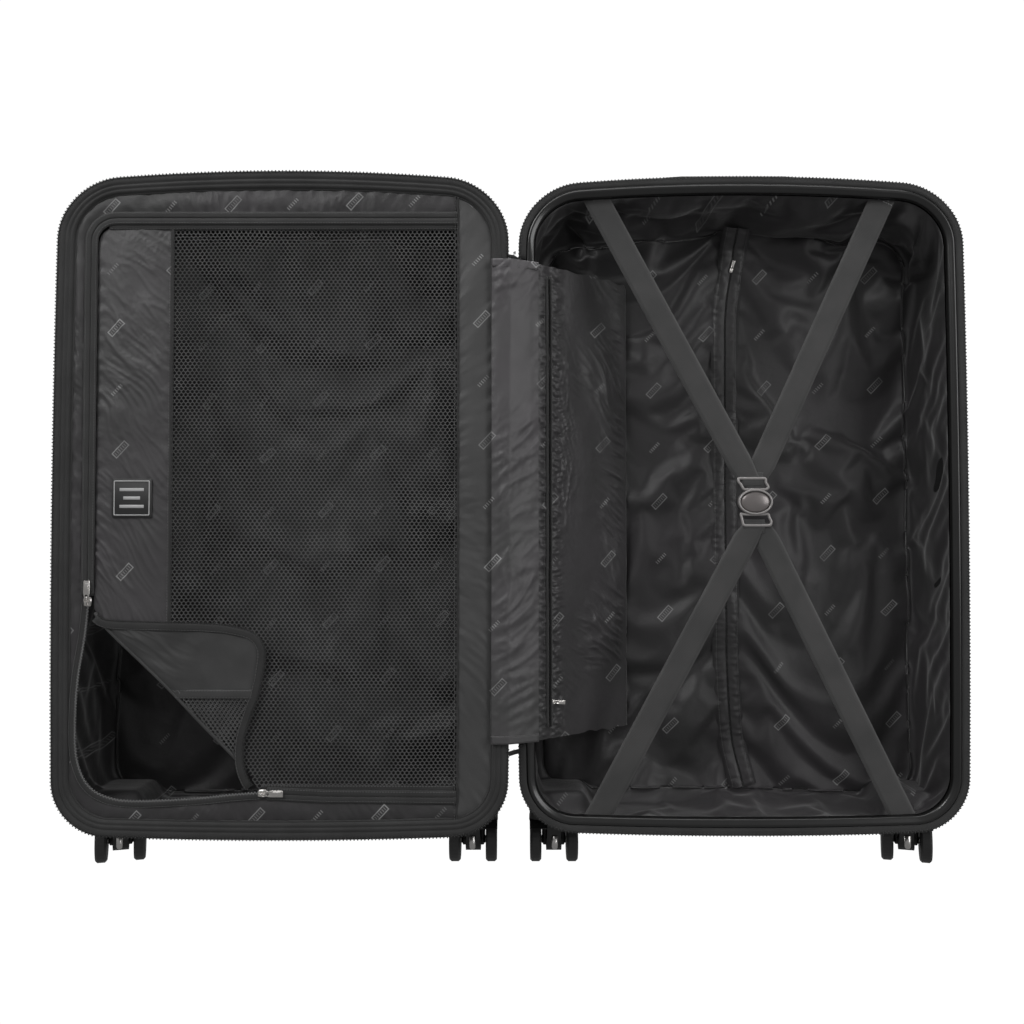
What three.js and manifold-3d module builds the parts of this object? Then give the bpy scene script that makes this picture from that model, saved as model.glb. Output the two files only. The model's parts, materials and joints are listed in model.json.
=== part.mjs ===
// Hard-shell zipped suitcase on twin-wheel casters, standing open like a book.
// Units are millimetres, +Z up, -Y is the side the open halves face, +X is the half with the pull handle.
// Inside this file the hinge line is X = 0, Y = 0 and the floor is Z = 0; the last group moves that to the
// centre of the object's footprint.
import * as THREE from "three";
import { mergeVertices } from "three/addons/utils/BufferGeometryUtils.js";
import Module from "manifold-3d";

const wasm = await Module();
wasm.setup();

// ---------------------------------------------------------------- driving dimensions
const HALF_GAP = 3.2; // hinge line to a half's edge
const HALF_W = 491; // width of one half
const RIM_BOTTOM = 52.4; // height of the rim's lowest edge over the floor
const RIM_TOP = 769; // height of the rim's highest edge
const CORNER_TOP = 65,
  CORNER_BOTTOM = 57; // corner radii of the rim, seen from the open side
const CROWN_TOP = 13,
  CROWN_BOTTOM = 5.8,
  CROWN_SIDE = 3.8; // how far the long edges bow outwards
const DEPTH = 150; // hinge plane to the outside of a shell's flat back
const WALL = 2.2; // shell thickness
const FLOOR_Y = 116; // inner face of the linings' floors
const LINING_OFF = 18.5; // lining's inset from the rim's outer edge
const FIT = 0.35; // gap between pieces that touch
const PARTING = 8.7; // the halves meet this far off the hinge plane: the front half is the deeper one

const CASTER_DX = 202.3; // casters either side of a half's middle
const CASTER_Y = 88; // swivel axis behind the hinge plane
const TRAIL = 12; // axle behind the swivel axis
const OUTER_TURN = -17; // degrees the outer casters stand turned
const WHEEL_R = 25;
const WHEEL_IN = 14.6,
  WHEEL_OUT = 27.2; // a wheel's two faces, from the swivel axis
const AXLE_R = 3;
const FORK_TOP = 57.6;
const HOUSING = { dx: 28, y0: -32, y1: 46, z0: 58, z1: 88 };

const TUBE_DX = 110; // trolley tubes either side of the half's middle
const TUBE_Y = 130;
const STAGE = 165; // travel of one trolley stage

const ORIGIN = [8.45, 71.0, 0]; // middle of the open case's footprint

const CX = HALF_GAP + HALF_W / 2; // a half's middle
const CZ = (RIM_TOP + RIM_BOTTOM) / 2;
const HW = HALF_W / 2,
  HH = (RIM_TOP - RIM_BOTTOM) / 2;

// inset of the shell's outside from the rim, by depth
const DRAFT = [
  [4.2, 0],
  [12, 0.2],
  [60, 2],
  [100, 4],
  [120, 6.2],
  [134, 10.5],
  [142, 16.5],
  [147.5, 27],
  [DEPTH, 44],
];
const draft = (y) => {
  for (let i = 1; i < DRAFT.length; i++)
    if (y <= DRAFT[i][0]) {
      const [y0, d0] = DRAFT[i - 1],
        [y1, d1] = DRAFT[i];
      return d0 + ((d1 - d0) * Math.max(0, y - y0)) / (y1 - y0);
    }
  return DRAFT.at(-1)[1];
};

// ---------------------------------------------------------------- helpers
const solid = (g) => {
  const w = new THREE.BufferGeometry().setAttribute(
    "position",
    (g.index ? g.toNonIndexed() : g).getAttribute("position"),
  );
  const m = mergeVertices(w, 1e-3);
  const s = new wasm.Manifold(
    new wasm.Mesh({
      numProp: 3,
      vertProperties: m.attributes.position.array,
      triVerts: new Uint32Array(m.index.array),
    }),
  );
  return s;
};
const geometry = (s) => {
  const m = s.getMesh(),
    n = m.numProp,
    v = new Float32Array(m.numVert * 3);
  for (let i = 0; i < m.numVert; i++)
    v.set(m.vertProperties.subarray(i * n, i * n + 3), i * 3);
  return new THREE.BufferGeometry()
    .setAttribute("position", new THREE.BufferAttribute(v, 3))
    .setIndex(new THREE.BufferAttribute(m.triVerts, 1));
};
const box = (x0, x1, y0, y1, z0, z1) =>
  solid(
    new THREE.BoxGeometry(x1 - x0, y1 - y0, z1 - z0).translate(
      (x0 + x1) / 2,
      (y0 + y1) / 2,
      (z0 + z1) / 2,
    ),
  );
// a closed prism of a flat outline: points are in the XZ plane and it fills y0..y1
const slab = (points, y0, y1) => {
  const shape = new THREE.Shape(points.map(([x, z]) => new THREE.Vector2(x, z)));
  const g = new THREE.ExtrudeGeometry(shape, {
    depth: y1 - y0,
    bevelEnabled: false,
  });
  g.rotateX(Math.PI / 2); // x, z, depth -> x, -depth, z
  g.translate(0, y1, 0);
  return solid(g);
};
const rounded = (x0, x1, z0, z1, r, n = 5) => {
  const p = [];
  for (const [cx, cz, a] of [
    [x1 - r, z1 - r, 0],
    [x0 + r, z1 - r, 90],
    [x0 + r, z0 + r, 180],
    [x1 - r, z0 + r, 270],
  ])
    for (let i = 0; i <= n; i++) {
      const t = ((a + (90 * i) / n) * Math.PI) / 180;
      p.push([cx + r * Math.cos(t), cz + r * Math.sin(t)]);
    }
  return p;
};
// a prism along Z of an outline in the XY plane
const prismZ = (points, z0, z1) => {
  const shape = new THREE.Shape(points.map(([x, y]) => new THREE.Vector2(x, y)));
  return solid(
    new THREE.ExtrudeGeometry(shape, {
      depth: z1 - z0,
      bevelEnabled: false,
    }).translate(0, 0, z0),
  );
};
// a prism along X of an outline in the YZ plane
const prismX = (points, x0, x1) => {
  const shape = new THREE.Shape(points.map(([y, z]) => new THREE.Vector2(y, z)));
  const g = new THREE.ExtrudeGeometry(shape, {
    depth: x1 - x0,
    bevelEnabled: false,
  });
  g.rotateX(Math.PI / 2).rotateZ(Math.PI / 2); // y, z, depth -> depth, y, z
  g.translate(x0, 0, 0);
  return solid(g);
};
const latheX = (profile, segments, x = 0, y = 0, z = 0) => {
  // profile points are [radius, x]
  const g = new THREE.LatheGeometry(
    profile.map(([r, h]) => new THREE.Vector2(r, h)),
    segments,
  );
  g.rotateZ(-Math.PI / 2);
  return solid(g.translate(x, y, z));
};
const cylX = (r, x0, x1, y, z, seg = 20) =>
  solid(
    new THREE.CylinderGeometry(r, r, x1 - x0, seg)
      .rotateZ(Math.PI / 2)
      .translate((x0 + x1) / 2, y, z),
  );
const cylY = (r, y0, y1, x, z, seg = 20) =>
  solid(
    new THREE.CylinderGeometry(r, r, y1 - y0, seg).translate(x, (y0 + y1) / 2, z),
  );
const cylZ = (r, z0, z1, x, y, seg = 20) =>
  solid(
    new THREE.CylinderGeometry(r, r, z1 - z0, seg)
      .rotateX(Math.PI / 2)
      .translate(x, y, (z0 + z1) / 2),
  );

// The rim's outline, moved inwards by off: one point list whose points keep their order at every inset.
const CORNER_SEG = 9,
  EDGE_SEG = 4;
const outline = (off) => {
  const hw = HW - off,
    hh = HH - off,
    rt = Math.max(CORNER_TOP - 0.9 * off, 10),
    rb = Math.max(CORNER_BOTTOM - 0.85 * off, 10),
    raw = [];
  const corners = [
    [hw - rt, hh - rt, 0, rt],
    [rt - hw, hh - rt, 90, rt],
    [rb - hw, rb - hh, 180, rb],
    [hw - rb, rb - hh, 270, rb],
  ];
  corners.forEach(([cx, cz, a, r], k) => {
    for (let i = 0; i <= CORNER_SEG; i++) {
      const t = ((a + (90 * i) / CORNER_SEG) * Math.PI) / 180;
      raw.push([cx + r * Math.cos(t), cz + r * Math.sin(t)]);
    }
    const [nx, nz, na, nr] = corners[(k + 1) % 4],
      t = (na * Math.PI) / 180;
    const end = [nx + nr * Math.cos(t), nz + nr * Math.sin(t)],
      from = raw.at(-1);
    for (let i = 1; i < EDGE_SEG; i++)
      raw.push([
        from[0] + ((end[0] - from[0]) * i) / EDGE_SEG,
        from[1] + ((end[1] - from[1]) * i) / EDGE_SEG,
      ]);
  });
  return raw.map(([x, z]) => {
    const u = x / HW,
      v = z / HH;
    const cz = v > 0 ? CROWN_TOP : CROWN_BOTTOM;
    return [
      CX + x - CROWN_SIDE * u * v * v,
      CZ + z - cz * v * Math.abs(v) * u * u * Math.sign(v) * Math.sign(v),
    ];
  });
};
// skin through loops of the same number of points, closed by a fan at each end
const loft = (loops) => {
  const n = loops[0].length,
    v = [],
    f = [];
  loops.forEach((l) => l.forEach((p) => v.push(p)));
  for (let k = 0; k + 1 < loops.length; k++)
    for (let i = 0; i < n; i++) {
      const a = k * n + i,
        b = k * n + ((i + 1) % n),
        c = a + n,
        d = b + n;
      f.push([a, c, b], [b, c, d]);
    }
  for (const [k, flip] of [
    [0, false],
    [loops.length - 1, true],
  ]) {
    const mid = [0, 0, 0];
    loops[k].forEach((p) => p.forEach((c, j) => (mid[j] += c / n)));
    const m = v.push(mid) - 1;
    for (let i = 0; i < n; i++) {
      const a = k * n + i,
        b = k * n + ((i + 1) % n);
      f.push(flip ? [a, m, b] : [a, b, m]);
    }
  }
  return indexed(v, f);
};
const indexed = (v, f) => {
  const volume = f.reduce((s, [a, b, c]) => {
    const [p, q, r] = [v[a], v[b], v[c]];
    return (
      s +
      p[0] * (q[1] * r[2] - q[2] * r[1]) +
      p[1] * (q[2] * r[0] - q[0] * r[2]) +
      p[2] * (q[0] * r[1] - q[1] * r[0])
    );
  }, 0);
  const g = new THREE.BufferGeometry()
    .setAttribute("position", new THREE.Float32BufferAttribute(v.flat(), 3))
    .setIndex((volume < 0 ? f.map(([a, b, c]) => [a, c, b]) : f).flat());
  return solid(g);
};
let side = PARTING; // +PARTING while the back half is made, -PARTING for the front half
const shift = (y) => y + side * Math.min(1, Math.max(0, (60 - y) / 40));
const at = (off, y) => outline(off).map(([x, z]) => [x, shift(y), z]);
// a band all round the rim: section points are [inset, y]
const band = (section) => {
  const loops = section.map(([off, y]) => at(off, y)),
    n = loops[0].length,
    m = loops.length,
    v = loops.flat(),
    f = [];
  for (let k = 0; k < m; k++)
    for (let i = 0; i < n; i++) {
      const a = k * n + i,
        b = k * n + ((i + 1) % n),
        c = ((k + 1) % m) * n + i,
        d = ((k + 1) % m) * n + ((i + 1) % n);
      f.push([a, c, b], [b, c, d]);
    }
  return indexed(v, f);
};
const plate = (off, y0, y1) => loft([at(off, y0), at(off, y1)]);

const COLOURS = {
  shell: [0x17171a, 0.45, 0],
  rim: [0x0b0b0c, 0.25, 0],
  tape: [0x2e2d2f, 0.8, 0],
  lining: [0x232225, 0.5, 0],
  webbing: [0x3b3a3b, 0.85, 0],
  buckle: [0x6e6a69, 0.35, 0.4],
  moulded: [0x1a1a1c, 0.6, 0],
  wheel: [0x262628, 0.55, 0],
  steel: [0xb8b6b4, 0.3, 1],
  aluminium: [0x8f9093, 0.35, 1],
  zip: [0xc4c0bc, 0.3, 1],
};
const root = new THREE.Group();
const inner = new THREE.Group();
inner.position.set(-ORIGIN[0], -ORIGIN[1], -ORIGIN[2]);
root.add(inner);
const add = (name, s, colour, parent = inner) => {
  const [c, roughness, metalness] = COLOURS[colour];
  const mesh = new THREE.Mesh(
    geometry(s),
    new THREE.MeshStandardMaterial({ color: c, roughness, metalness }),
  );
  mesh.name = name;
  parent.add(mesh);
  return mesh;
};
const front = new THREE.Group(); // the other half is built as a mirror image
front.scale.x = -1;
inner.add(front);

// ---------------------------------------------------------------- casters
const casterX = [CX - CASTER_DX, CX + CASTER_DX];
const housingBox = (x, grow) =>
  prismZ(
    rounded(
      x - HOUSING.dx - grow,
      x + HOUSING.dx + grow,
      CASTER_Y + HOUSING.y0 - grow,
      CASTER_Y + HOUSING.y1 + grow,
      9,
      3,
    ),
    HOUSING.z0 - grow,
    HOUSING.z1 + grow,
  );
const caster = (label, x, parent, turn = 0) => {
  const y = CASTER_Y,
    ay = y + TRAIL,
    az = WHEEL_R;
  add(
    `caster_housing_${label}`,
    housingBox(x, 0).subtract(cylZ(5.4, HOUSING.z0 - 1, HOUSING.z0 + 17, x, y, 16)),
    "moulded",
    parent,
  );
  // swivelling fork: king pin, turntable, centre web, axle hub and a mudguard over each wheel
  const guard = (s) => {
    const p = [];
    for (let i = 0; i <= 8; i++) {
      const t = ((38 + (104 * i) / 8) * Math.PI) / 180;
      p.push([ay + 28.6 * Math.cos(t), az + 28.6 * Math.sin(t)]);
    }
    for (let i = 8; i >= 0; i--) {
      const t = ((38 + (104 * i) / 8) * Math.PI) / 180;
      p.push([ay + 26.4 * Math.cos(t), az + 26.4 * Math.sin(t)]);
    }
    const [a, b] = s < 0 ? [-28, -7.5] : [7.5, 28];
    return prismX(p, x + a, x + b);
  };
  const web = prismX(
    [
      [ay - 12, az],
      [ay + 12, az],
      [ay + 14, 48],
      [y + 14, 55],
      [y - 14, 55],
      [y - 12, 44],
    ],
    x - 8,
    x + 8,
  );
  const fork = cylZ(20, 53, FORK_TOP, x, y, 24)
    .add(cylZ(5, 54, HOUSING.z0 + 15, x, y, 16))
    .add(web)
    .add(cylX(12.4, x - 8.7, x + 8.7, ay, az, 20))
    .add(guard(-1))
    .add(guard(1))
    .subtract(cylX(AXLE_R + FIT, x - 12, x + 12, ay, az, 12));
  const turned = (s) =>
    solid(
      geometry(s)
        .translate(-x, -y, 0)
        .rotateZ((turn * Math.PI) / 180)
        .translate(x, y, 0),
    );
  add(`caster_fork_${label}`, turned(fork), "moulded", parent);
  add(
    `caster_axle_${label}`,
    turned(cylX(AXLE_R, x - 26, x + 26, ay, az, 12)),
    "steel",
    parent,
  );
  for (const [end, s] of [
    ["a", -1],
    ["b", 1],
  ]) {
    const i = s * WHEEL_IN,
      o = s * WHEEL_OUT,
      c = s * 2.2,
      r = WHEEL_R;
    const profile = [
      [AXLE_R + FIT, i],
      [r - 2.2, i],
      [r, i + c],
      [r, o - c],
      [r - 2.2, o],
      [AXLE_R + FIT, o],
      [AXLE_R + FIT, i],
    ];
    if (s < 0) profile.reverse();
    add(
      `caster_wheel_${label}_${end}`,
      turned(latheX(profile, 30, x, ay, az)),
      "wheel",
      parent,
    );
  }
};
caster("back_inner", casterX[0], inner);
caster("back_outer", casterX[1], inner, OUTER_TURN);
caster("front_inner", casterX[0], front);
caster("front_outer", casterX[1], front, OUTER_TURN);

// ---------------------------------------------------------------- shells
const shellTub = () => {
  const outer = DRAFT.map(([y, d]) => at(d, y));
  const inside = DRAFT.slice(0, -1).map(([y, d]) =>
    at(d + WALL, Math.min(y, DEPTH - WALL - 1.5)),
  );
  inside.push(at(DRAFT.at(-1)[1] + 2, DEPTH - WALL));
  return loft([...inside.reverse(), ...outer]);
};
const notchCasters = (s, grow) =>
  casterX.reduce((t, x) => t.subtract(housingBox(x, grow)), s);

const CUP = { dx: 140, y0: 118.6, y1: 142.4, z0: 720, z1: 757 };
const TOP_BASE = { dx: 98, y0: 47, y1: 77, z0: 755.2, z1: 768 };
const SIDE_BASE = { dz: 98, y0: 47, y1: 77, x0: 480.6, x1: 493.6 };
const LOCK = { x0: 482, x1: 496, y0: 22, y1: 50, z0: 536, z1: 612 };

side = PARTING;
let backShell = notchCasters(shellTub(), FIT)
  .subtract(
    box(CX - CUP.dx - FIT, CX + CUP.dx + FIT, CUP.y0 - FIT, CUP.y1 + FIT, CUP.z0, 800),
  )
  .subtract(
    box(
      CX - TOP_BASE.dx - FIT,
      CX + TOP_BASE.dx + FIT,
      TOP_BASE.y0 - FIT,
      TOP_BASE.y1 + FIT,
      TOP_BASE.z0 - FIT,
      800,
    ),
  )
  .subtract(
    box(
      SIDE_BASE.x0 - FIT,
      520,
      SIDE_BASE.y0 - FIT,
      SIDE_BASE.y1 + FIT,
      CZ - SIDE_BASE.dz - FIT,
      CZ + SIDE_BASE.dz + FIT,
    ),
  )
  .subtract(
    box(LOCK.x0 - FIT, 520, LOCK.y0 - FIT, LOCK.y1 + FIT, LOCK.z0 - FIT, LOCK.z1 + FIT),
  );
add("back_shell", backShell, "shell");
side = -PARTING;
add("front_shell", notchCasters(shellTub(), FIT), "shell", front);
side = PARTING;

// ---------------------------------------------------------------- rims and closure zip
const HINGE_Z0 = 153.5,
  HINGE_Z1 = 673; // the fabric hinge, between the zip's two ends
const zipGap = box(-10, 40, PARTING - 2, PARTING + 4, HINGE_Z0 - 2, HINGE_Z1 + 2);
const flapRecess = (y) => box(-10, 30, y - 2, y + 2.7, HINGE_Z0 - 2, HINGE_Z1 + 2);
add(
  "back_zip_tape",
  band([
    [0, 1.8],
    [8, 1.4],
    [8, 3.4],
    [0, 3.8],
  ]).subtract(zipGap),
  "tape",
);
add(
  "back_rim_frame",
  band([
    [2.6, 4.2],
    [8.4, 4.0],
    [8.9, 2.0],
    [11.5, 1.4],
    [15.5, 2.2],
    [18, 5],
    [18, 10],
    [2.6, 10],
  ]).subtract(flapRecess(PARTING)),
  "rim",
);
side = -PARTING;
add(
  "front_rim_band",
  band([
    [0, 1.9],
    [5, 1.3],
    [9.5, 1.8],
    [11, 3.4],
    [13, 2.4],
    [16.5, 2.6],
    [18, 5],
    [18, 10],
    [2.6, 10],
    [2.6, 3.9],
    [0, 3.9],
  ]).subtract(flapRecess(-PARTING)),
  "tape",
  front,
);

// ---------------------------------------------------------------- linings
const liningTub = () => {
  const t = 1.6;
  const stations = [
    [10.4, LINING_OFF + 0.1],
    [20, 16],
    [60, 16.5],
    [96, 18.5],
    [110, 24],
    [FLOOR_Y, 34],
  ];
  const open = stations.map(([y, d]) => at(d, y));
  const hidden = stations.map(([y, d], i) =>
    at(d - t, i === stations.length - 1 ? y + t : y),
  );
  return notchCasters(loft([...open.reverse(), ...hidden]), 1);
};
add("front_lining", liningTub(), "lining", front);
side = PARTING;
add("back_lining", liningTub(), "lining");

// ---------------------------------------------------------------- trolley handle
{
  const tube = (x, w, d, t, z0, z1) =>
    box(x - w / 2, x + w / 2, TUBE_Y - d / 2, TUBE_Y + d / 2, z0, z1).subtract(
      box(
        x - w / 2 + t,
        x + w / 2 - t,
        TUBE_Y - d / 2 + t,
        TUBE_Y + d / 2 - t,
        z0 - 1,
        z1 + 1,
      ),
    );
  const xs = { left: CX - TUBE_DX, right: CX + TUBE_DX };
  let cup = box(CX - CUP.dx, CX + CUP.dx, CUP.y0, CUP.y1, CUP.z0, CUP.z1).subtract(
    box(CX - 128, CX + 128, TUBE_Y - 9.2, TUBE_Y + 10, 729, 800),
  );
  for (const x of Object.values(xs))
    cup = cup.subtract(box(x - 11.2, x + 11.2, TUBE_Y - 7, TUBE_Y + 7, 700, 740));
  add("trolley_cup", cup, "moulded");
  add(
    "trolley_base_bracket",
    box(CX - 128, CX + 128, TUBE_Y - 9, TUBE_Y + 9, 84, 95),
    "moulded",
  );
  for (const [side, x] of Object.entries(xs)) {
    add(`trolley_outer_tube_${side}`, tube(x, 25, 16.5, 1.3, 95.4, 719.6), "aluminium");
    add(`trolley_middle_tube_${side}`, tube(x, 21.6, 13.1, 1.3, 100, 728), "aluminium");
    add(`trolley_inner_tube_${side}`, tube(x, 18.2, 9.7, 1.3, 104, 741.5), "aluminium");
  }
  let grip = prismX(
    [
      [TUBE_Y - 8.4, 735],
      [TUBE_Y + 9, 735],
      [TUBE_Y + 9, 756],
      [TUBE_Y + 6, 760.5],
      [TUBE_Y - 5.4, 760.5],
      [TUBE_Y - 8.4, 756],
    ],
    CX - 126,
    CX + 126,
  ).subtract(box(CX - 17.4, CX + 17.4, TUBE_Y - 4.9, TUBE_Y + 5.5, 752, 770));
  for (const x of Object.values(xs))
    grip = grip.subtract(
      box(x - 9.5, x + 9.5, TUBE_Y - 5.25, TUBE_Y + 5.25, 730, 742),
    );
  add("trolley_grip", grip, "moulded");
  add(
    "trolley_button",
    box(CX - 17, CX + 17, TUBE_Y - 4.5, TUBE_Y + 5.1, 756, 763),
    "buckle",
  );
}

// ---------------------------------------------------------------- carry handles
{
  const b = TOP_BASE,
    hx = 88;
  const socket = (x0, x1, grow) =>
    box(x0 - grow, x1 + grow, 52 - grow, 72 + grow, 757 - grow, 800);
  add(
    "top_handle_base",
    box(CX - b.dx, CX + b.dx, b.y0, b.y1, b.z0, b.z1)
      .subtract(socket(CX - hx, CX - hx + 11, FIT))
      .subtract(socket(CX + hx - 11, CX + hx, FIT)),
    "moulded",
  );
  const arch = [
    [CX - hx, 757.6],
    [CX - hx + 11, 757.6],
    [CX - hx + 11, 772],
    [CX - hx + 17, 775.5],
    [CX + hx - 17, 775.5],
    [CX + hx - 11, 772],
    [CX + hx - 11, 757.6],
    [CX + hx, 757.6],
    [CX + hx, 776],
    [CX + hx - 10, 782],
    [CX + hx - 30, 783.5],
    [CX - hx + 30, 783.5],
    [CX - hx + 10, 782],
    [CX - hx, 776],
  ];
  add("top_handle_grip", slab(arch, 52, 72), "moulded");
  // the side handle is the same handle turned onto the long side
  const c = SIDE_BASE;
  const sideSocket = (z0, z1, grow) =>
    box(482.4 - grow, 530, 52 - grow, 72 + grow, z0 - grow, z1 + grow);
  add(
    "side_handle_base",
    box(c.x0, c.x1, c.y0, c.y1, CZ - c.dz, CZ + c.dz)
      .subtract(sideSocket(CZ - hx, CZ - hx + 11, FIT))
      .subtract(sideSocket(CZ + hx - 11, CZ + hx, FIT)),
    "moulded",
  );
  add(
    "side_handle_grip",
    slab(arch.map(([x, z]) => [z - 272.4, CX - x + CZ]).reverse(), 52, 72),
    "moulded",
  );
}

// ---------------------------------------------------------------- combination lock
{
  const L = LOCK;
  const dialZ = [550, 559.5, 569];
  let body = box(L.x0, L.x1, L.y0, L.y1, L.z0, L.z1);
  for (const z of dialZ)
    body = body.subtract(box(478, 520, 27, 45, z - 3.6, z + 3.6));
  body = body.subtract(box(493, 520, 28, 44, 583, 603));
  // a dial's pocket is open to the inside of the case, so each dial shows only its edge outside
  add("lock_body", body, "moulded");
  dialZ.forEach((z, i) =>
    add(
      `lock_dial_${i + 1}`,
      cylZ(8.5, z - 3, z + 3, 489, 36, 20),
      "steel",
    ),
  );
  add("lock_release_button", box(493.4, 497.6, 29, 43, 583.6, 597), "buckle");
}

// ---------------------------------------------------------------- closure zip sliders
for (const [label, z0, z1] of [
  ["upper", 678, 694],
  ["lower", 133, 149],
]) {
  // parked at the two ends of the zip beside the hinge, the pull lying along the outside of the seam
  add(
    `main_zip_slider_${label}`,
    box(0.5, 2.8, PARTING + 2, PARTING + 12, z0 + 3, z1 - 3).add(
      box(0.8, 2.4, PARTING + 6, PARTING + 32, z0 + 5, z1 - 5),
    ),
    "zip",
  );
}

// ---------------------------------------------------------------- packing straps and their buckle
const bandBetween = ([x0, z0], [x1, z1], w, yA, yB) => {
  const dx = x1 - x0,
    dz = z1 - z0,
    l = Math.hypot(dx, dz),
    nx = (-dz / l) * (w / 2),
    nz = (dx / l) * (w / 2);
  return slab(
    [
      [x0 + nx, z0 + nz],
      [x0 - nx, z0 - nz],
      [x1 - nx, z1 - nz],
      [x1 + nx, z1 + nz],
    ],
    yA,
    yB,
  );
};
const STRAP_W = 28.5;
const BUCKLE = [264, 412];
const room = plate(LINING_OFF + 1.2, 4, 40);
add(
  "strap_upper",
  bandBetween([84, 761], [253, 446], STRAP_W, 21, 22.6)
    .add(bandBetween([412, 761], [276, 446], STRAP_W, 21, 22.6))
    .add(box(248, 282.5, 21, 22.6, 433.5, 450))
    .intersect(room),
  "webbing",
);
add(
  "strap_lower",
  bandBetween([89, 58], [248, 382], STRAP_W, 21, 22.6)
    .add(bandBetween([424, 58], [271, 384], STRAP_W, 21, 22.6))
    .add(box(249.5, 283.5, 21, 22.6, 377, 390))
    .intersect(room),
  "webbing",
);
{
  const ellipse = (cx, cz, a, b, n = 28) =>
    Array.from({ length: n }, (_, i) => [
      cx + a * Math.cos((2 * Math.PI * i) / n),
      cz + b * Math.sin((2 * Math.PI * i) / n),
    ]);
  const [bx, bz] = BUCKLE;
  // oval body with the upper bar loop
  add(
    "buckle_frame",
    slab(ellipse(bx, bz, 19.5, 14.6), 15.5, 25)
      .subtract(slab(ellipse(bx, bz, 16.4, 11.6), 10, 22.4))
      .add(
        slab(
          [
            [bx - 18, bz + 30],
            [bx - 14, bz + 12],
            [bx + 16, bz + 12],
            [bx + 14, bz + 30],
          ],
          17,
          20.6,
        ).subtract(
          slab(
            [
              [bx - 14.5, bz + 26.6],
              [bx - 11.5, bz + 15.6],
              [bx + 12, bz + 15.6],
              [bx + 11, bz + 26.6],
            ],
            10,
            30,
          ),
        ).subtract(slab(ellipse(bx, bz, 19, 14), 10, 30)),
      ),
    "buckle",
  );
  add(
    "buckle_button",
    slab(ellipse(bx, bz, 15.9, 11.1), 14.2, 19),
    "buckle",
  );
  add(
    "buckle_insert",
    slab(
      [
        [bx - 14, bz - 10],
        [bx + 14, bz - 10],
        [bx + 18.5, bz - 30],
        [bx - 12.5, bz - 30],
      ],
      17,
      20.6,
    )
      .subtract(
        slab(
          [
            [bx - 10.5, bz - 19],
            [bx + 12, bz - 19],
            [bx + 14.6, bz - 26.6],
            [bx - 8.8, bz - 26.6],
          ],
          10,
          30,
        ),
      )
      .subtract(slab(ellipse(bx, bz, 19.9, 15), 10, 30)),
    "buckle",
  );
}

// ---------------------------------------------------------------- fabric hinge and the pocket behind it
add(
  "hinge_pocket_panel",
  prismZ(
    [
      [4.2, PARTING + 0.7],
      [27, PARTING + 0.7],
      [29.5, PARTING + 3],
      [126.5, 111.6],
      [124.6, 113.2],
      [27, PARTING + 4.4],
      [25.6, PARTING + 2.3],
      [4.2, PARTING + 2.3],
    ],
    HINGE_Z0 + 1,
    HINGE_Z1 - 1,
  ),
  "lining",
);
add(
  "hinge_flap_front",
  box(4.2, 24, -PARTING + 0.7, -PARTING + 2.3, HINGE_Z0 + 1, HINGE_Z1 - 1),
  "lining",
  front,
);
{
  // slider on the pocket's own zip, a fifth of the way down the slope
  const t = 0.2,
    x = 29.5 + 97 * t,
    y = PARTING + 3 + 99.9 * t;
  const s = solid(
    new THREE.BoxGeometry(9, 4.5, 12)
      .translate(0, -3.2, 0),
  ).add(
    solid(new THREE.BoxGeometry(18, 1.6, 5).translate(11, -4.6, -1)),
  );
  const g = geometry(s)
    .rotateZ(Math.atan2(99.9, 97))
    .translate(x, y, 190);
  add("pocket_zip_slider", solid(g), "zip");
}

// ---------------------------------------------------------------- zipped divider of the front half
{
  side = -PARTING;
  add(
    "divider_border",
    plate(LINING_OFF + 0.6, 6.4, 8.4).subtract(
      slab(rounded(63, 445, 104, 712, 22, 5), -20, 20),
    ),
    "lining",
    front,
  );
  // the panel hangs behind the border; its lower outer corner is unzipped and folded back over its front
  const cut = [
    [470, 314],
    [448, 296],
    [276, 104],
    [262, 88],
    [480, 88],
  ];
  const panel = slab(rounded(58, 455, 96, 720, 26, 5), 9 - PARTING, 10.6 - PARTING).subtract(
    slab(cut, -40, 40),
  );
  const flap = slab(
    [
      [441, 291],
      [300, 293],
      [270, 288],
      [259, 274],
      [262, 240],
      [272, 200],
      [276, 150],
      [271, 112],
      [280, 110],
    ].reverse(),
    3.4 - PARTING,
    5.2 - PARTING,
  );
  const seam = slab(
    [
      [447, 298],
      [438, 299],
      [268, 109],
      [275, 103.5],
    ],
    3.4 - PARTING,
    10.6 - PARTING,
  );
  const clear = plate(LINING_OFF + 0.6, -5, 8.8).subtract(
    slab(rounded(63.6, 444.4, 104.6, 711.4, 22, 5), -30, 20),
  );
  add(
    "divider_panel",
    panel.add(flap).add(seam).subtract(clear),
    "lining",
    front,
  );
  add(
    "divider_slider_side",
    box(445.5, 454.5, 3 - PARTING, 6 - PARTING, 305, 318).add(
      box(447, 453, 1.6 - PARTING, 3.2 - PARTING, 309, 338),
    ),
    "zip",
    front,
  );
  add(
    "divider_slider_bottom",
    box(255, 268, 3 - PARTING, 6 - PARTING, 95.5, 104).add(
      box(235, 262, 1.6 - PARTING, 3.2 - PARTING, 96.8, 102.8),
    ),
    "zip",
    front,
  );
}

export default root;
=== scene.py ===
import json
import math

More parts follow.
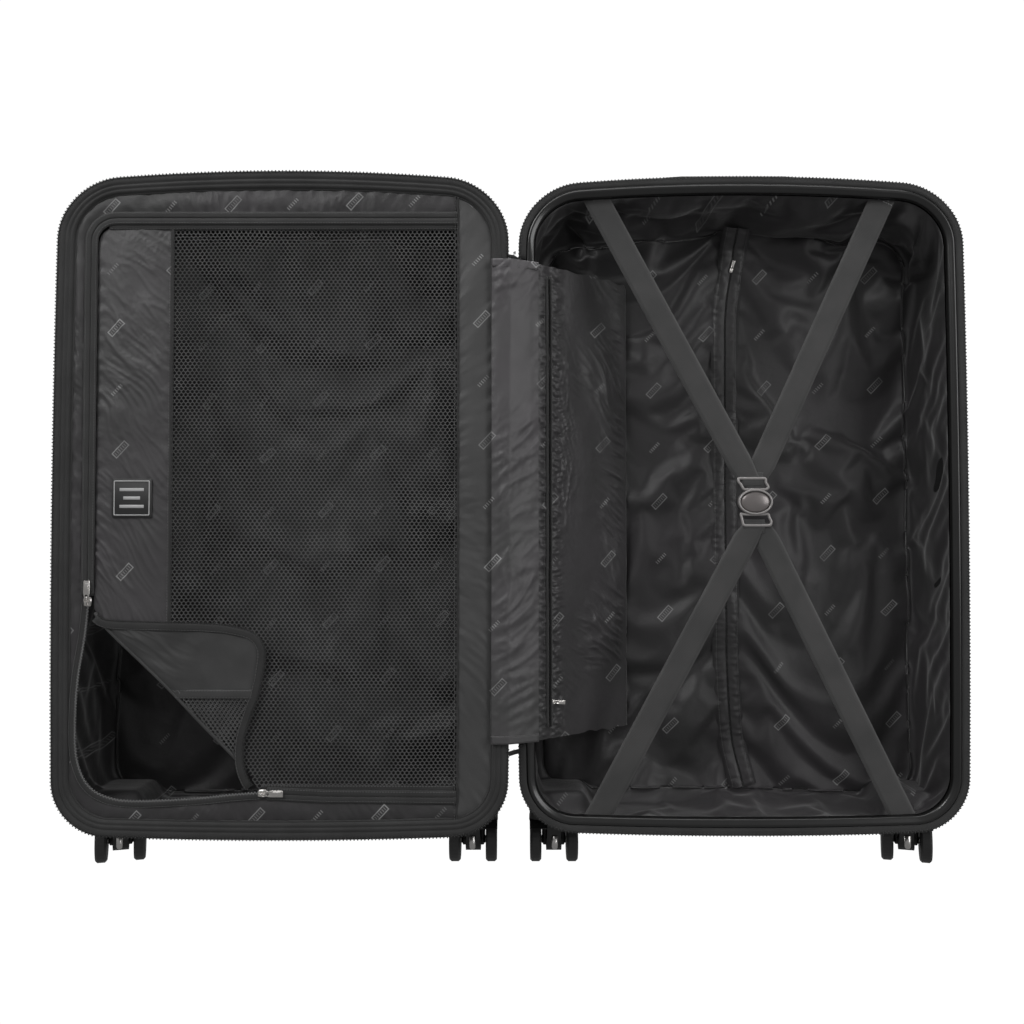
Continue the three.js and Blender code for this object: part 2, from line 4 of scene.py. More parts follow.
import bpy
import numpy as np
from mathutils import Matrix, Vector


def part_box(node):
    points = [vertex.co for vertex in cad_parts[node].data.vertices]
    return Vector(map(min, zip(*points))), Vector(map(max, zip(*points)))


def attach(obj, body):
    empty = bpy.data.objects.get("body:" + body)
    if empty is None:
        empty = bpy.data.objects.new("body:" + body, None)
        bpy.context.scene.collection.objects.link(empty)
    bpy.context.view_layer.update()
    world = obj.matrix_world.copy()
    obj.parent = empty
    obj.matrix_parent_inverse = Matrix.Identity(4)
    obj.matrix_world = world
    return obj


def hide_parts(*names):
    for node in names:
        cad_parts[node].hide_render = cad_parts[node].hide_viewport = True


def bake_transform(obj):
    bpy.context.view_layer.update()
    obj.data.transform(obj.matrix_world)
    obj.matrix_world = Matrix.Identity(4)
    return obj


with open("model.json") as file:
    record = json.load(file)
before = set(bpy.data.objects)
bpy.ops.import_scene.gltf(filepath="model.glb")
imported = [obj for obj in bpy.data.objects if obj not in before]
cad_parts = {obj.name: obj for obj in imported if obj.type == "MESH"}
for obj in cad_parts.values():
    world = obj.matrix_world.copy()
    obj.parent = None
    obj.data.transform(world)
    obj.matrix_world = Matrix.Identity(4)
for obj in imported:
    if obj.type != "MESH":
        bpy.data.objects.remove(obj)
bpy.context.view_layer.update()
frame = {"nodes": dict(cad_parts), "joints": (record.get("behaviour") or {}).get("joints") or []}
HINGE = next(j for j in frame["joints"] if j["name"] == "lid_hinge")["pos_m"]
HX, HY = HINGE[0] * 1000, HINGE[1] * 1000

# the same driving numbers as the frame
HALF_GAP, HALF_W, RIM_BOTTOM, RIM_TOP, CORNER_TOP, CORNER_BOTTOM = 3.2, 491.0, 52.4, 769.0, 65.0, 57.0
CROWN_TOP, CROWN_BOTTOM, CROWN_SIDE, DEPTH, WALL, PARTING = 13.0, 5.8, 3.8, 150.0, 2.2, 8.7
LINING_OFF, FLOOR_Y = 18.5, 116.0
CX, CZ = HALF_GAP + HALF_W / 2, (RIM_TOP + RIM_BOTTOM) / 2
HW, HH = HALF_W / 2, (RIM_TOP - RIM_BOTTOM) / 2
HINGE_Z0, HINGE_Z1 = 153.5, 673.0
CAM_D, CAM_X, CAM_Z, CAM_UP = 1134.0, -1.8, 366.0, 1.75


# ------------------------------------------------------------------ noise
def _fade(t):
    return t * t * t * (t * (t * 6 - 15) + 10)


def pnoise(x, y, seed=0):
    """Perlin noise of two arrays, about -1 to 1."""
    rng = np.random.default_rng(seed)
    perm = rng.permutation(256)
    ang = rng.random(256) * 2 * np.pi
    gx, gy = np.cos(ang), np.sin(ang)
    x, y = np.broadcast_arrays(np.asarray(x, float), np.asarray(y, float))
    xi, yi = np.floor(x).astype(int), np.floor(y).astype(int)
    xf, yf = x - xi, y - yi

    def g(ix, iy, dx, dy):
        h = perm[(perm[ix & 255] + iy) & 255]
        return gx[h] * dx + gy[h] * dy

    u, v = _fade(xf), _fade(yf)
    a = g(xi, yi, xf, yf) * (1 - u) + g(xi + 1, yi, xf - 1, yf) * u
    b = g(xi, yi + 1, xf, yf - 1) * (1 - u) + g(xi + 1, yi + 1, xf - 1, yf - 1) * u
    return (a * (1 - v) + b * v) * 1.5


def creases(x, z, seed, angle=45.0, long=90.0, short=16.0):
    """Soft directional wrinkles: 0 on the cloth, up to about 1 on a crest."""
    t = math.radians(angle)
    u = x * math.cos(t) + z * math.sin(t)
    v = -x * math.sin(t) + z * math.cos(t)
    w = pnoise(x / 70, z / 70, seed + 5) * 14
    n = pnoise(u / long, (v + w) / short, seed)
    m = pnoise(u / (long * 0.6), (v + w * 1.4) / (short * 0.55), seed + 9)
    gate = np.clip(pnoise(x / 120, z / 120, seed + 3) * 1.4 + 0.55, 0, 1)
    return (np.exp(-((n / 0.16) ** 2)) * 0.7 + 0.35 * np.exp(-((m / 0.14) ** 2))) * gate


# ------------------------------------------------------------------ outlines
def _order(x0, x1, z0, z1, r, nc, ne, rb=None):
    """Rounded rectangle as a loop that starts at its upper right corner and runs anticlockwise."""
    pts = []
    b = r if rb is None else rb
    cs = [(x1 - r, z1 - r, 0, r), (x0 + r, z1 - r, 90, r), (x0 + b, z0 + b, 180, b), (x1 - b, z0 + b, 270, b)]
    for k, (cx, cz, a, r) in enumerate(cs):
        for i in range(nc + 1):
            t = math.radians(a + 90 * i / nc)
            pts.append((cx + r * math.cos(t), cz + r * math.sin(t)))
        nx, nz, na, nr = cs[(k + 1) % 4]
        t = math.radians(na)
        ex, ez = nx + nr * math.cos(t), nz + nr * math.sin(t)
        fx, fz = pts[-1]
        for i in range(1, ne):
            pts.append((fx + (ex - fx) * i / ne, fz + (ez - fz) * i / ne))
    return np.array(pts)


def outline(off, nc=14, ne=24):
    hw, hh = HW - off, HH - off
    p = _order(-hw, hw, -hh, hh, max(CORNER_TOP - 0.9 * off, 10), nc, ne, max(CORNER_BOTTOM - 0.85 * off, 10))
    u, v = p[:, 0] / HW, p[:, 1] / HH
    crown = np.where(v > 0, CROWN_TOP, CROWN_BOTTOM)
    x = CX + p[:, 0] - CROWN_SIDE * u * v * v
    z = CZ + p[:, 1] - crown * v * np.abs(v) * u * u
    return np.stack([x, z], 1)


def rect_loop(x0, x1, z0, z1, r, nc=14, ne=24):
    return _order(x0, x1, z0, z1, r, nc, ne)


SIDE = {"s": 1.0}  # 1 while the back half is made, -1 for the front half


def shifted(y):
    """A depth behind the rim plane as a depth behind the hinge plane."""
    return y + SIDE["s"] * PARTING * np.clip((60 - np.asarray(y, float)) / 40, 0, 1)


def loop3(p, y):
    return np.stack([p[:, 0], np.full(len(p), float(shifted(y))), p[:, 1]], 1)


# ------------------------------------------------------------------ mesh helpers
def to_world(v):
    v = np.asarray(v, float)
    return np.stack([(v[:, 0] + HX) / 1000, (v[:, 1] + HY) / 1000, v[:, 2] / 1000], 1)


def make(name, verts, faces, mat, body=None, mirror=False, uv=None, smooth=True, outward=False):
    v = np.array(verts, float)
    fs = [tuple(int(i) for i in f) for f in faces]
    if mirror:
        v[:, 0] *= -1
        fs = [f[::-1] for f in fs]
    me = bpy.data.meshes.new(name)
    me.from_pydata(to_world(v).tolist(), [], fs)
    if outward:
        import bmesh

        bm = bmesh.new()
        bm.from_mesh(me)
        bmesh.ops.recalc_face_normals(bm, faces=bm.faces)
        bm.to_mesh(me)
        bm.free()
    if uv is not None:
        layer = me.uv_layers.new(name="pat")
        idx = np.zeros(len(me.loops), int)
        me.loops.foreach_get("vertex_index", idx)
        layer.data.foreach_set("uv", (np.asarray(uv, float)[idx] / 1000).astype(np.float32).ravel())
    if smooth:
        me.polygons.foreach_set("use_smooth", np.ones(len(me.polygons), bool))
    me.update()
    ob = bpy.data.objects.new(name, me)
    bpy.context.scene.collection.objects.link(ob)
    if mat is not None:
        me.materials.append(mat)
    if body:
        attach(ob, body)
    return ob


def strips(loops, closed_along=True, closed_across=False):
    """Quads between rows of points. Returns vertices and faces."""
    n, m = len(loops[0]), len(loops)
    v = np.concatenate(loops)
    f = []
    for k in range(m if closed_across else m - 1):
        a0, b0 = k * n, ((k + 1) % m) * n
        for i in range(n if closed_along else n - 1):
            j = (i + 1) % n
            f.append((a0 + i, a0 + j, b0 + j, b0 + i))
    return v, f


def ring(section, y_push=None, nc=14, ne=24):
    """A closed band round the rim from (inset, y) section points."""
    loops = []
    for off, y in section:
        l = loop3(outline(off, nc, ne), y)
        if y_push:
            l[:, 1] = np.maximum(l[:, 1], y_push(l))
        loops.append(l)
    return strips(loops, True, True)


def hinge_notch(depth):
    """Least y beside the fabric hinge, so that a rim dips behind it."""

    def least(l):
        near = (l[:, 0] < 34) & (l[:, 2] > HINGE_Z0 - 1) & (l[:, 2] < HINGE_Z1 + 1)
        return np.where(near, depth, 0.6) + SIDE["s"] * PARTING

    return least


def smooth_line(points, step=4.0):
    """Catmull-Rom through points, sampled about every step mm."""
    p = np.asarray(points, float)
    ext = np.vstack([2 * p[0] - p[1], p, 2 * p[-1] - p[-2]])
    out = []
    for i in range(1, len(ext) - 2):
        a, b, c, d = ext[i - 1 : i + 3]
        n = max(2, int(np.linalg.norm(c - b) / step))
        t = np.linspace(0, 1, n, endpoint=False)[:, None]
        out.append(0.5 * (2 * b + (c - a) * t + (2 * a - 5 * b + 4 * c - d) * t**2 + (-a + 3 * b - 3 * c + d) * t**3))
    return np.vstack(out + [p[-1:]])


def resample(line, step):
    line = np.asarray(line, float)
    d = np.r_[0, np.cumsum(np.linalg.norm(np.diff(line, axis=0), axis=1))]
    n = max(2, int(round(d[-1] / step)) + 1)
    s = np.linspace(0, d[-1], n)
    return np.stack([np.interp(s, d, line[:, k]) for k in range(line.shape[1])], 1)


def frame_along(line, up):
    t = np.gradient(line, axis=0)
    t /= np.linalg.norm(t, axis=1)[:, None] + 1e-9
    up = np.broadcast_to(np.asarray(up, float), line.shape)
    side = np.cross(t, up)
    side /= np.linalg.norm(side, axis=1)[:, None] + 1e-9
    nor = np.cross(side, t)
    return t, side, nor


def ribbon(line, width, thick, up=(0, -1, 0), crown=0.0, across=4):
    """A flat closed band along a line: side is across, up is its face."""
    t, side, nor = frame_along(line, up)
    sect = []
    for i in range(across + 1):
        s = -1 + 2 * i / across
        sect.append((s * width / 2, thick / 2 + crown * (1 - s * s)))
    for i in range(across, -1, -1):
        s = -1 + 2 * i / across
        sect.append((s * width / 2, -thick / 2 + crown * (1 - s * s)))
    rows = [np.array([line[k] + side[k] * a + nor[k] * b for a, b in sect]) for k in range(len(line))]
    v, f = strips(rows, True, False)
    n = len(sect)
    f.append(tuple(range(n))[::-1])
    f.append(tuple(range(len(v) - n, len(v))))
    return v, f


def tube(line, r, seg=8, up=(0, -1, 0), flat=1.0):
    t, side, nor = frame_along(line, up)
    ang = np.linspace(0, 2 * np.pi, seg, endpoint=False)
    rows = [line[k] + np.outer(np.cos(ang) * r, side[k]) + np.outer(np.sin(ang) * r * flat, nor[k]) for k in range(len(line))]
    v, f = strips(rows, True, False)
    f.append(tuple(range(seg))[::-1])
    f.append(tuple(range(len(v) - seg, len(v))))
    return v, f


def merge(parts):
    vs, fs, n = [], [], 0
    for v, f in parts:
        vs.append(np.asarray(v, float))
        fs += [tuple(i + n for i in q) for q in f]
        n += len(v)
    return np.concatenate(vs), fs


def bevel_box(c, s, b=0.6, rot=None):
    """A box of size s with its edges cut back by b, centred on c; rot is a 3x3 turn."""
    s = np.asarray(s, float) / 2
    v, f = [], []
    idx = {}
    for sx in (-1, 1):
        for sy in (-1, 1):
            for sz in (-1, 1):
                for a in range(3):
                    q = s - b
                    q[a] = s[a]
                    idx[(sx, sy, sz, a)] = len(v)
                    v.append((sx * q[0], sy * q[1], sz * q[2]))
    for a in range(3):
        b1, b2 = [k for k in range(3) if k != a]
        for s0 in (-1, 1):
            quad = []
            for u, w in ((-1, -1), (1, -1), (1, 1), (-1, 1)):
                k = [0, 0, 0]
                k[a], k[b1], k[b2] = s0, u, w
                quad.append(idx[(*k, a)])
            f.append(tuple(quad))
    for a in range(3):  # edges along axis a
        b1, b2 = [k for k in range(3) if k != a]
        for u in (-1, 1):
            for w in (-1, 1):
                q = []
                for s0, ax in ((-1, b1), (1, b1), (1, b2), (-1, b2)):
                    k = [0, 0, 0]
                    k[a], k[b1], k[b2] = s0, u, w
                    q.append(idx[(*k, ax)])
                f.append(tuple(q))
    for sx in (-1, 1):
        for sy in (-1, 1):
            for sz in (-1, 1):
                f.append(tuple(idx[(sx, sy, sz, a)] for a in range(3)))
    v = np.array(v)
    if rot is not None:
        v = v @ np.asarray(rot).T
    return v + np.asarray(c, float), f


def coil(line, up=(0, -1, 0), width=5.0, pitch=2.0, lift=0.9):
    """Zip coil: two rows of small teeth that interlock along a line."""
    pts = resample(line, pitch)
    t, side, nor = frame_along(pts, up)
    parts = []
    for k in range(len(pts)):
        s = 1 if k % 2 else -1
        c = pts[k] + side[k] * s * width * 0.16 + nor[k] * lift
        rot = np.stack([side[k], nor[k], t[k]], 1)
        parts.append(bevel_box(c, (width * 0.66, 1.3, pitch * 0.72), 0.3, rot))
    return merge(parts)


# ------------------------------------------------------------------ materials
def srgb(r, g=None, b=None):
    g, b = (r, r) if g is None else (g, b)
    f = lambda c: c / 12.92 if c <= 0.04045 else ((c + 0.055) / 1.055) ** 2.4
    return (f(r / 255), f(g / 255), f(b / 255), 1)


class Mat:
    def __init__(self, name, base, rough=0.5, metal=0.0, **kw):
        self.m = bpy.data.materials.new(name)
        self.m.use_nodes = True
        self.nt = self.m.node_tree
        self.b = self.nt.nodes["Principled BSDF"]
        self.set("Base Color", base)
        self.set("Roughness", rough)
        self.set("Metallic", metal)
        for k, v in kw.items():
            self.set(k.replace("_", " "), v)

    def set(self, k, v):
        self.b.inputs[k].default_value = v

    def n(self, kind, **props):
        x = self.nt.nodes.new(kind)
        for k, v in props.items():
            setattr(x, k, v)
        return x

    def link(self, a, b):
        self.nt.links.new(a, b)

    def value(self, node_input, v):
        if isinstance(v, (int, float)):
            node_input.default_value = v
        else:
            self.link(v, node_input)

    def math(self, op, a, b=None, c=None, clamp=False):
        x = self.n("ShaderNodeMath", operation=op, use_clamp=clamp)
        self.value(x.inputs[0], a)
        if b is not None:
            self.value(x.inputs[1], b)
        if c is not None:
            self.value(x.inputs[2], c)
        return x.outputs[0]

    def coords(self, uv=False):
        if uv:
            return self.n("ShaderNodeUVMap", uv_map="pat").outputs[0]
        return self.n("ShaderNodeTexCoord").outputs["Object"]

    def noise(self, vec, scale, detail=2.0, rough=0.5, stretch=None):
        if stretch:
            mp = self.n("ShaderNodeMapping")
            mp.inputs["Scale"].default_value = stretch
            self.link(vec, mp.inputs["Vector"])
            vec = mp.outputs[0]
        x = self.n("ShaderNodeTexNoise")
        x.inputs["Scale"].default_value = scale
        x.inputs["Detail"].default_value = detail
        x.inputs["Roughness"].default_value = rough
        self.link(vec, x.inputs["Vector"])
        return x.outputs["Fac"]

    def ramp(self, fac, stops):
        x = self.n("ShaderNodeValToRGB")
        e = x.color_ramp.elements
        e[0].position, e[0].color = stops[0]
        e[1].position, e[1].color = stops[-1]
        for p, c in stops[1:-1]:
            q = e.new(p)
            q.color = c
        self.link(fac, x.inputs[0])
        return x.outputs[0]

    def mix(self, fac, a, b):
        x = self.n("ShaderNodeMix", data_type="RGBA")
        self.value(x.inputs[0], fac)
        for sock, v in ((x.inputs[6], a), (x.inputs[7], b)):
            if isinstance(v, tuple):
                sock.default_value = v
            else:
                self.link(v, sock)
        return x.outputs[2]

    def bump(self, heights):
        """heights: (value socket, distance m, strength)."""
        prev = None
        for h, dist, strength in heights:
            x = self.n("ShaderNodeBump")
            x.inputs["Distance"].default_value = dist
            x.inputs["Strength"].default_value = strength
            self.link(h, x.inputs["Height"])
            if prev is not None:
                self.link(prev, x.inputs["Normal"])
            prev = x.outputs[0]
        self.link(prev, self.b.inputs["Normal"])

    def sep(self, vec):
        x = self.n("ShaderNodeSeparateXYZ")
        self.link(vec, x.inputs[0])
        return x.outputs


def marks(m, vec, plane="xz"):
    """A generic printed motif: small slanted bars, every second one a rounded frame with short dashes in it. 0 to 1."""
    s = m.sep(vec)
    u0, v0 = (s[0], s[2]) if plane == "xz" else (s[0], s[1])
    c = math.cos(math.radians(47)) * 1000
    d = math.sin(math.radians(47)) * 1000
    u = m.math("ADD", m.math("MULTIPLY", u0, c), m.math("MULTIPLY", v0, d))
    v = m.math("ADD", m.math("MULTIPLY", u0, -d), m.math("MULTIPLY", v0, c))
    row = m.math("FLOOR", m.math("DIVIDE", v, 47.0))
    odd = m.math("ABSOLUTE", m.math("MODULO", row, 2.0))
    us = m.math("ADD", u, m.math("MULTIPLY", odd, 44.0))
    a = m.math("SUBTRACT", m.math("ABSOLUTE", m.math("WRAP", us, 46.0, -46.0)), 0.0)
    b = m.math("ABSOLUTE", m.math("SUBTRACT", m.math("WRAP", v, 47.0, 0.0), 23.5))
    inside = lambda hx, hz: m.math("MULTIPLY", m.math("LESS_THAN", a, hx), m.math("LESS_THAN", b, hz))
    frame_ = m.math("SUBTRACT", inside(10.2, 3.9), inside(8.9, 2.7), clamp=True)
    dash = m.math("LESS_THAN", m.math("ABSOLUTE", m.math("WRAP", m.math("ADD", a, 1.4), 1.4, -1.4)), 0.62)
    dashes = m.math("MULTIPLY", dash, inside(7.4, 1.9))
    both = m.math("ADD", m.math("MULTIPLY", frame_, odd), m.math("MULTIPLY", dashes, m.math("MULTIPLY_ADD", odd, -0.45, 1.0)), clamp=True)
    worn = m.math("MULTIPLY_ADD", m.noise(vec, 30, 2), 2.2, -0.35, clamp=True)
    return m.math("MULTIPLY", both, worn)


def satin(name, tone, mark_tone=112, uv=False, rough=0.42, fine=0.5, sheen=0.25, print_=True, painted_light_from_x=None, spec=0.55):
    m = Mat(name, srgb(tone), rough)
    vec = m.coords(uv)
    m.set("Sheen Weight", sheen)
    m.set("Sheen Roughness", 0.45)
    m.set("Specular IOR Level", spec)
    vary = m.noise(vec, 7, 4, 0.6)
    base = m.ramp(vary, [(0.3, srgb(tone * 0.9)), (0.7, srgb(tone * 1.1 + 1, tone * 1.07, tone * 1.1 + 1))])
    # painted sheen: beyond the given x the same satin is painted 1.26 to 1.5 times lighter, as where it catches more
    # light
    if painted_light_from_x is not None:
        painted_lit_side = m.math("GREATER_THAN", m.sep(vec)[0], painted_light_from_x)
        base = m.mix(m.math("MULTIPLY", painted_lit_side, 0.9), base, m.ramp(vary, [(0.3, srgb(tone * 1.26)), (0.7, srgb(tone * 1.5))]))
    if print_:
        mk = marks(m, vec, "xy" if uv else "xz")
        base = m.mix(m.math("MULTIPLY", mk, 0.85), base, srgb(mark_tone))
    m.link(base, m.b.inputs["Base Color"])
    m.link(m.math("MULTIPLY_ADD", m.noise(vec, 40, 3), 0.16, rough - 0.08), m.b.inputs["Roughness"])
    weave = m.n("ShaderNodeTexWave", wave_type="BANDS", bands_direction="DIAGONAL")
    weave.inputs["Scale"].default_value = 900
    m.link(vec, weave.inputs["Vector"])
    m.bump([
        (weave.outputs["Fac"], 0.00008, 0.35),
        (m.noise(vec, 55, 5, 0.6), 0.0016, fine),
        (m.noise(vec, 19, 3, 0.5), 0.004, fine * 0.7),
    ])
    return m.m


def plain_cloth(name, tone, rough=0.75, scale=1400, dist=0.00025, sheen=0.2):
    m = Mat(name, srgb(tone), rough)
    vec = m.coords()
    m.set("Sheen Weight", sheen)
    base = m.ramp(m.noise(vec, 30, 4), [(0.3, srgb(tone * 0.88)), (0.7, srgb(tone * 1.12))])
    m.link(base, m.b.inputs["Base Color"])
    w1 = m.n("ShaderNodeTexWave", wave_type="BANDS", bands_direction="X")
    w2 = m.n("ShaderNodeTexWave", wave_type="BANDS", bands_direction="Z")
    for w in (w1, w2):
        w.inputs["Scale"].default_value = scale / 4
        m.link(vec, w.inputs["Vector"])
    m.bump([(m.math("MULTIPLY", w1.outputs["Fac"], w2.outputs["Fac"]), dist, 0.6), (m.noise(vec, 90, 3), 0.0006, 0.4)])
    return m.m


def plastic(name, tone, rough=0.4, grain=0.5, grain_scale=900, scuff=0.25, coat=0.0, metal=0.0, spec=0.5):
    tone = tone if isinstance(tone, tuple) else (tone, tone, tone)
    m = Mat(name, srgb(*tone), rough, metal)
    m.set("Coat Weight", coat)
    m.set("Coat Roughness", 0.12)
    m.set("Specular IOR Level", spec)
    vec = m.coords()
    vary = m.noise(vec, 14, 5, 0.6)
    hi = tuple(min(255, c * (1 + 0.35 * scuff) + 4 * scuff) for c in tone)
    base = m.ramp(vary, [(0.35, srgb(*tone)), (0.75, srgb(*hi))])
    m.link(base, m.b.inputs["Base Color"])
    m.link(m.math("MULTIPLY_ADD", m.noise(vec, 60, 4, 0.7), 0.35 * scuff, rough - 0.17 * scuff), m.b.inputs["Roughness"])
    m.bump([(m.noise(vec, grain_scale, 2), 0.0002, grain)])
    return m.m


M = {}
M["lining"] = satin("satin_lining", 43.5, 128, rough=0.47, fine=0.38, spec=0.45)
# painted shade: the front half's lining is the same satin as the back lining, given a darker tone (23 against 43.5) and
# a darker print so that it reads as lying in shade
M["lining_front"] = satin("satin_lining_front", 23, 100, rough=0.56, spec=0.4)
# the border's band within 60 mm of the hinge line, the plain strip beside the hinge, is painted lighter: a painted
# sheen
M["border"] = satin("satin_border_painted_sheen", 48, 150, rough=0.5, fine=0.35, painted_light_from_x=(HX - 60.0) / 1000)
M["strip"] = satin("satin_strip", 60, 150, rough=0.46, fine=0.3)
M["flap"] = satin("satin_flap", 72, 158, rough=0.48, fine=0.25)
M["pocket"] = satin("satin_pocket", 51, 138, rough=0.42)
M["under"] = plain_cloth("coated_underside", 54, 0.6, 1600, 0.00015)
M["hem"] = plain_cloth("binding_tape", 40, 0.8)
M["tape"] = plain_cloth("zip_tape", 44, 0.8)
M["coil"] = plastic("zip_coil", 34, 0.42, 0.2)
M["net"] = plain_cloth("net_thread", 92, 0.7, 4000, 0.00005)
def grosgrain(name, tone):
    m = Mat(name, srgb(tone), 0.78)
    m.set("Sheen Weight", 0.25)
    uv = m.coords(True)
    su = m.sep(uv)
    rib = m.math("ABSOLUTE", m.math("SINE", m.math("MULTIPLY", su[0], 1000 * math.pi / 1.5)))
    edge = m.math("GREATER_THAN", m.math("ABSOLUTE", su[1]), 0.0118)
    base = m.mix(m.math("MULTIPLY", rib, 0.5), srgb(tone * 0.95), srgb(tone * 1.08))
    base = m.mix(m.math("MULTIPLY", edge, 0.5), base, srgb(tone * 1.3))
    worn = m.ramp(m.noise(m.coords(), 24, 4), [(0.35, (0.82, 0.82, 0.82, 1)), (0.65, (1.12, 1.1, 1.1, 1))])
    mul = m.n("ShaderNodeMix", data_type="RGBA", blend_type="MULTIPLY")
    mul.inputs[0].default_value = 1.0
    m.link(base, mul.inputs[6])
    m.link(worn, mul.inputs[7])
    m.link(mul.outputs[2], m.b.inputs["Base Color"])
    m.bump([(rib, 0.0002, 0.4), (m.noise(m.coords(), 900, 2), 0.0002, 0.5)])
    return m.m


M["webbing"] = grosgrain("webbing", 62)
M["rim"] = plastic("rim_gloss", 18, 0.3, 0.1, 700, 0.3, coat=0.35)
M["shell"] = plastic("shell_grain", 27, 0.42, 0.9, 420, 0.4, coat=0.15)
M["moulded"] = plastic("moulded_black", 30, 0.5, 0.6, 900, 0.4)
M["wheel"] = plastic("wheel_black", 40, 0.5, 0.5, 900, 0.6)
M["buckle"] = plastic("buckle_grey", (150, 147, 146), 0.36, 0.2, 900, 0.2, metal=0.35)
M["button"] = plastic("button_grey", (122, 117, 116), 0.3, 0.15, 900, 0.3, metal=0.5)
M["metal"] = plastic("plated_zinc", (214, 211, 208), 0.22, 0.1, 700, 0.25, metal=1.0)
M["steel"] = plastic("bright_steel", (196, 194, 192), 0.25, 0.1, 700, 0.25, metal=1.0)
M["alu"] = plastic("satin_aluminium", (150, 151, 154), 0.35, 0.3, 1400, 0.2, metal=1.0)
M["rubber"] = plastic("soft_patch", 46, 0.6, 0.4, 700, 0.2)
M["thread"] = plain_cloth("sewing_thread", 86, 0.6, 4000, 0.00005)
M["thread_light"] = plain_cloth("sewing_thread_light", 168, 0.6, 4000, 0.00005)
M["coil_light"] = plastic("zip_coil_light", 118, 0.4, 0.2)
M["metal_dark"] = plastic("zip_slider_dark", (70, 69, 70), 0.35, 0.2, 700, 0.3, metal=0.8)
M["webbing_plain"] = plain_cloth("webbing_plain", 60, 0.8, 1500, 0.0003)
M["lining_strip"] = satin("satin_lining_strip", 40, 96, rough=0.42, print_=False)
M["patch_print"] = plastic("patch_raised", 176, 0.55, 0.3, 700, 0.2)

# ------------------------------------------------------------------ camera, light and floor
cam = bpy.data.objects.new("camera", bpy.data.cameras.new("camera"))
bpy.context.scene.collection.objects.link(cam)
cam.data.sensor_width = 36
cam.data.lens = 37.1
cam.location = to_world([(CAM_X, -CAM_D, CAM_Z)])[0]
cam.rotation_euler = (math.radians(90 + CAM_UP), 0, 0)
cam.data.clip_start, cam.data.clip_end = 0.05, 60
bpy.context.scene.camera = cam

world = bpy.data.worlds.new("studio")
bpy.context.scene.world = world
world.use_nodes = True
wt = world.node_tree
wt.nodes["Background"].inputs[0].default_value = (1, 1, 1, 1)
seen = wt.nodes.new("ShaderNodeLightPath")
lift = wt.nodes.new("ShaderNodeMath")
lift.operation = "MULTIPLY_ADD"
wt.links.new(seen.outputs["Is Camera Ray"], lift.inputs[0])
lift.inputs[1].default_value, lift.inputs[2].default_value = 0.75, 0.3
wt.links.new(lift.outputs[0], wt.nodes["Background"].inputs[1])
bpy.context.scene.view_settings.view_transform = "Standard"


def area(name, loc, target, size, power):
    l = bpy.data.lights.new(name, "AREA")
    l.shape, l.size, l.size_y, l.energy = "RECTANGLE", size[0], size[1], power
    o = bpy.data.objects.new(name, l)
    bpy.context.scene.collection.objects.link(o)
    o.location = loc
    o.rotation_euler = (Vector(target) - Vector(loc)).to_track_quat("-Z", "Y").to_euler()


area("key", (-1.3, -1.9, 2.1), (0.1, 0, 0.4), (1.2, 0.9), 26)
area("fill", (1.9, -1.7, 0.9), (0.1, 0, 0.35), (1.0, 1.4), 16)
area("top", (0.1, -0.4, 2.4), (0, 0, 0.4), (2.2, 0.8), 16)
area("behind_left", (1.7, 2.3, 1.5), (0.1, 0, 0.4), (0.9, 1.3), 22)
area("behind_right", (-2.0, 1.9, 0.9), (-0.1, 0, 0.35), (0.6, 1.4), 9)

floor_me = bpy.data.meshes.new("floor")
floor_me.from_pydata([(-30, -30, 0), (30, -30, 0), (30, 30, 0), (-30, 30, 0)], [], [(0, 1, 2, 3)])
floor = bpy.data.objects.new("floor", floor_me)
bpy.context.scene.collection.objects.link(floor)
fm = Mat("pale_floor", (0.93, 0.93, 0.93, 1), 0.75)
fm.set("Base Color", (0.0, 0.0, 0.0, 1))
fm.set("Specular IOR Level", 0.0)
fm.set("Emission Color", (1, 1, 1, 1))
lp = fm.n("ShaderNodeLightPath")
fm.link(fm.math("MULTIPLY_ADD", lp.outputs["Is Camera Ray"], 0.8, 0.25), fm.b.inputs["Emission Strength"])
floor_me.materials.append(fm.m)

# ------------------------------------------------------------------ CAD nodes that stay: finish and soft edges
FINISH = {
    "caster_housing": "moulded", "caster_fork": "moulded", "caster_axle": "steel", "caster_wheel": "wheel",
    "trolley_cup": "moulded", "trolley_base": "moulded", "trolley_outer": "alu", "trolley_middle": "alu",
    "trolley_inner": "alu", "trolley_grip": "moulded", "trolley_button": "button",
    "top_handle": "moulded", "side_handle": "moulded", "lock_body": "moulded", "lock_dial": "steel",
    "lock_release": "button",
}
for name, ob in frame["nodes"].items():
    for start, mat in FINISH.items():
        if name.startswith(start):
            ob.data.materials.clear()
            ob.data.materials.append(M[mat])
            ob.data.polygons.foreach_set("use_smooth", np.ones(len(ob.data.polygons), bool))
            bev = ob.modifiers.new("edge", "BEVEL")
            bev.width = 0.0022 if name.endswith("_grip") else 0.0009 if name.startswith(("caster", "top", "side")) else 0.0004
            bev.segments = 3 if name.endswith("_grip") else 2
            bev.limit_method = "ANGLE"
            bev.angle_limit = math.radians(32)
            bev.harden_normals = False
            wn = ob.modifiers.new("flat", "WEIGHTED_NORMAL")
            wn.keep_sharp = False

BACK, FRONT = "back_half", "front_half"
DRAFT = [(4.2, 0), (12, 0.2), (60, 2), (100, 4), (120, 6.2), (134, 10.5), (142, 16.5), (147.5, 27), (150, 44)]


# ------------------------------------------------------------------ shells
CHANNELS = (-135, -99, -63, -27, 27, 63, 99, 135)


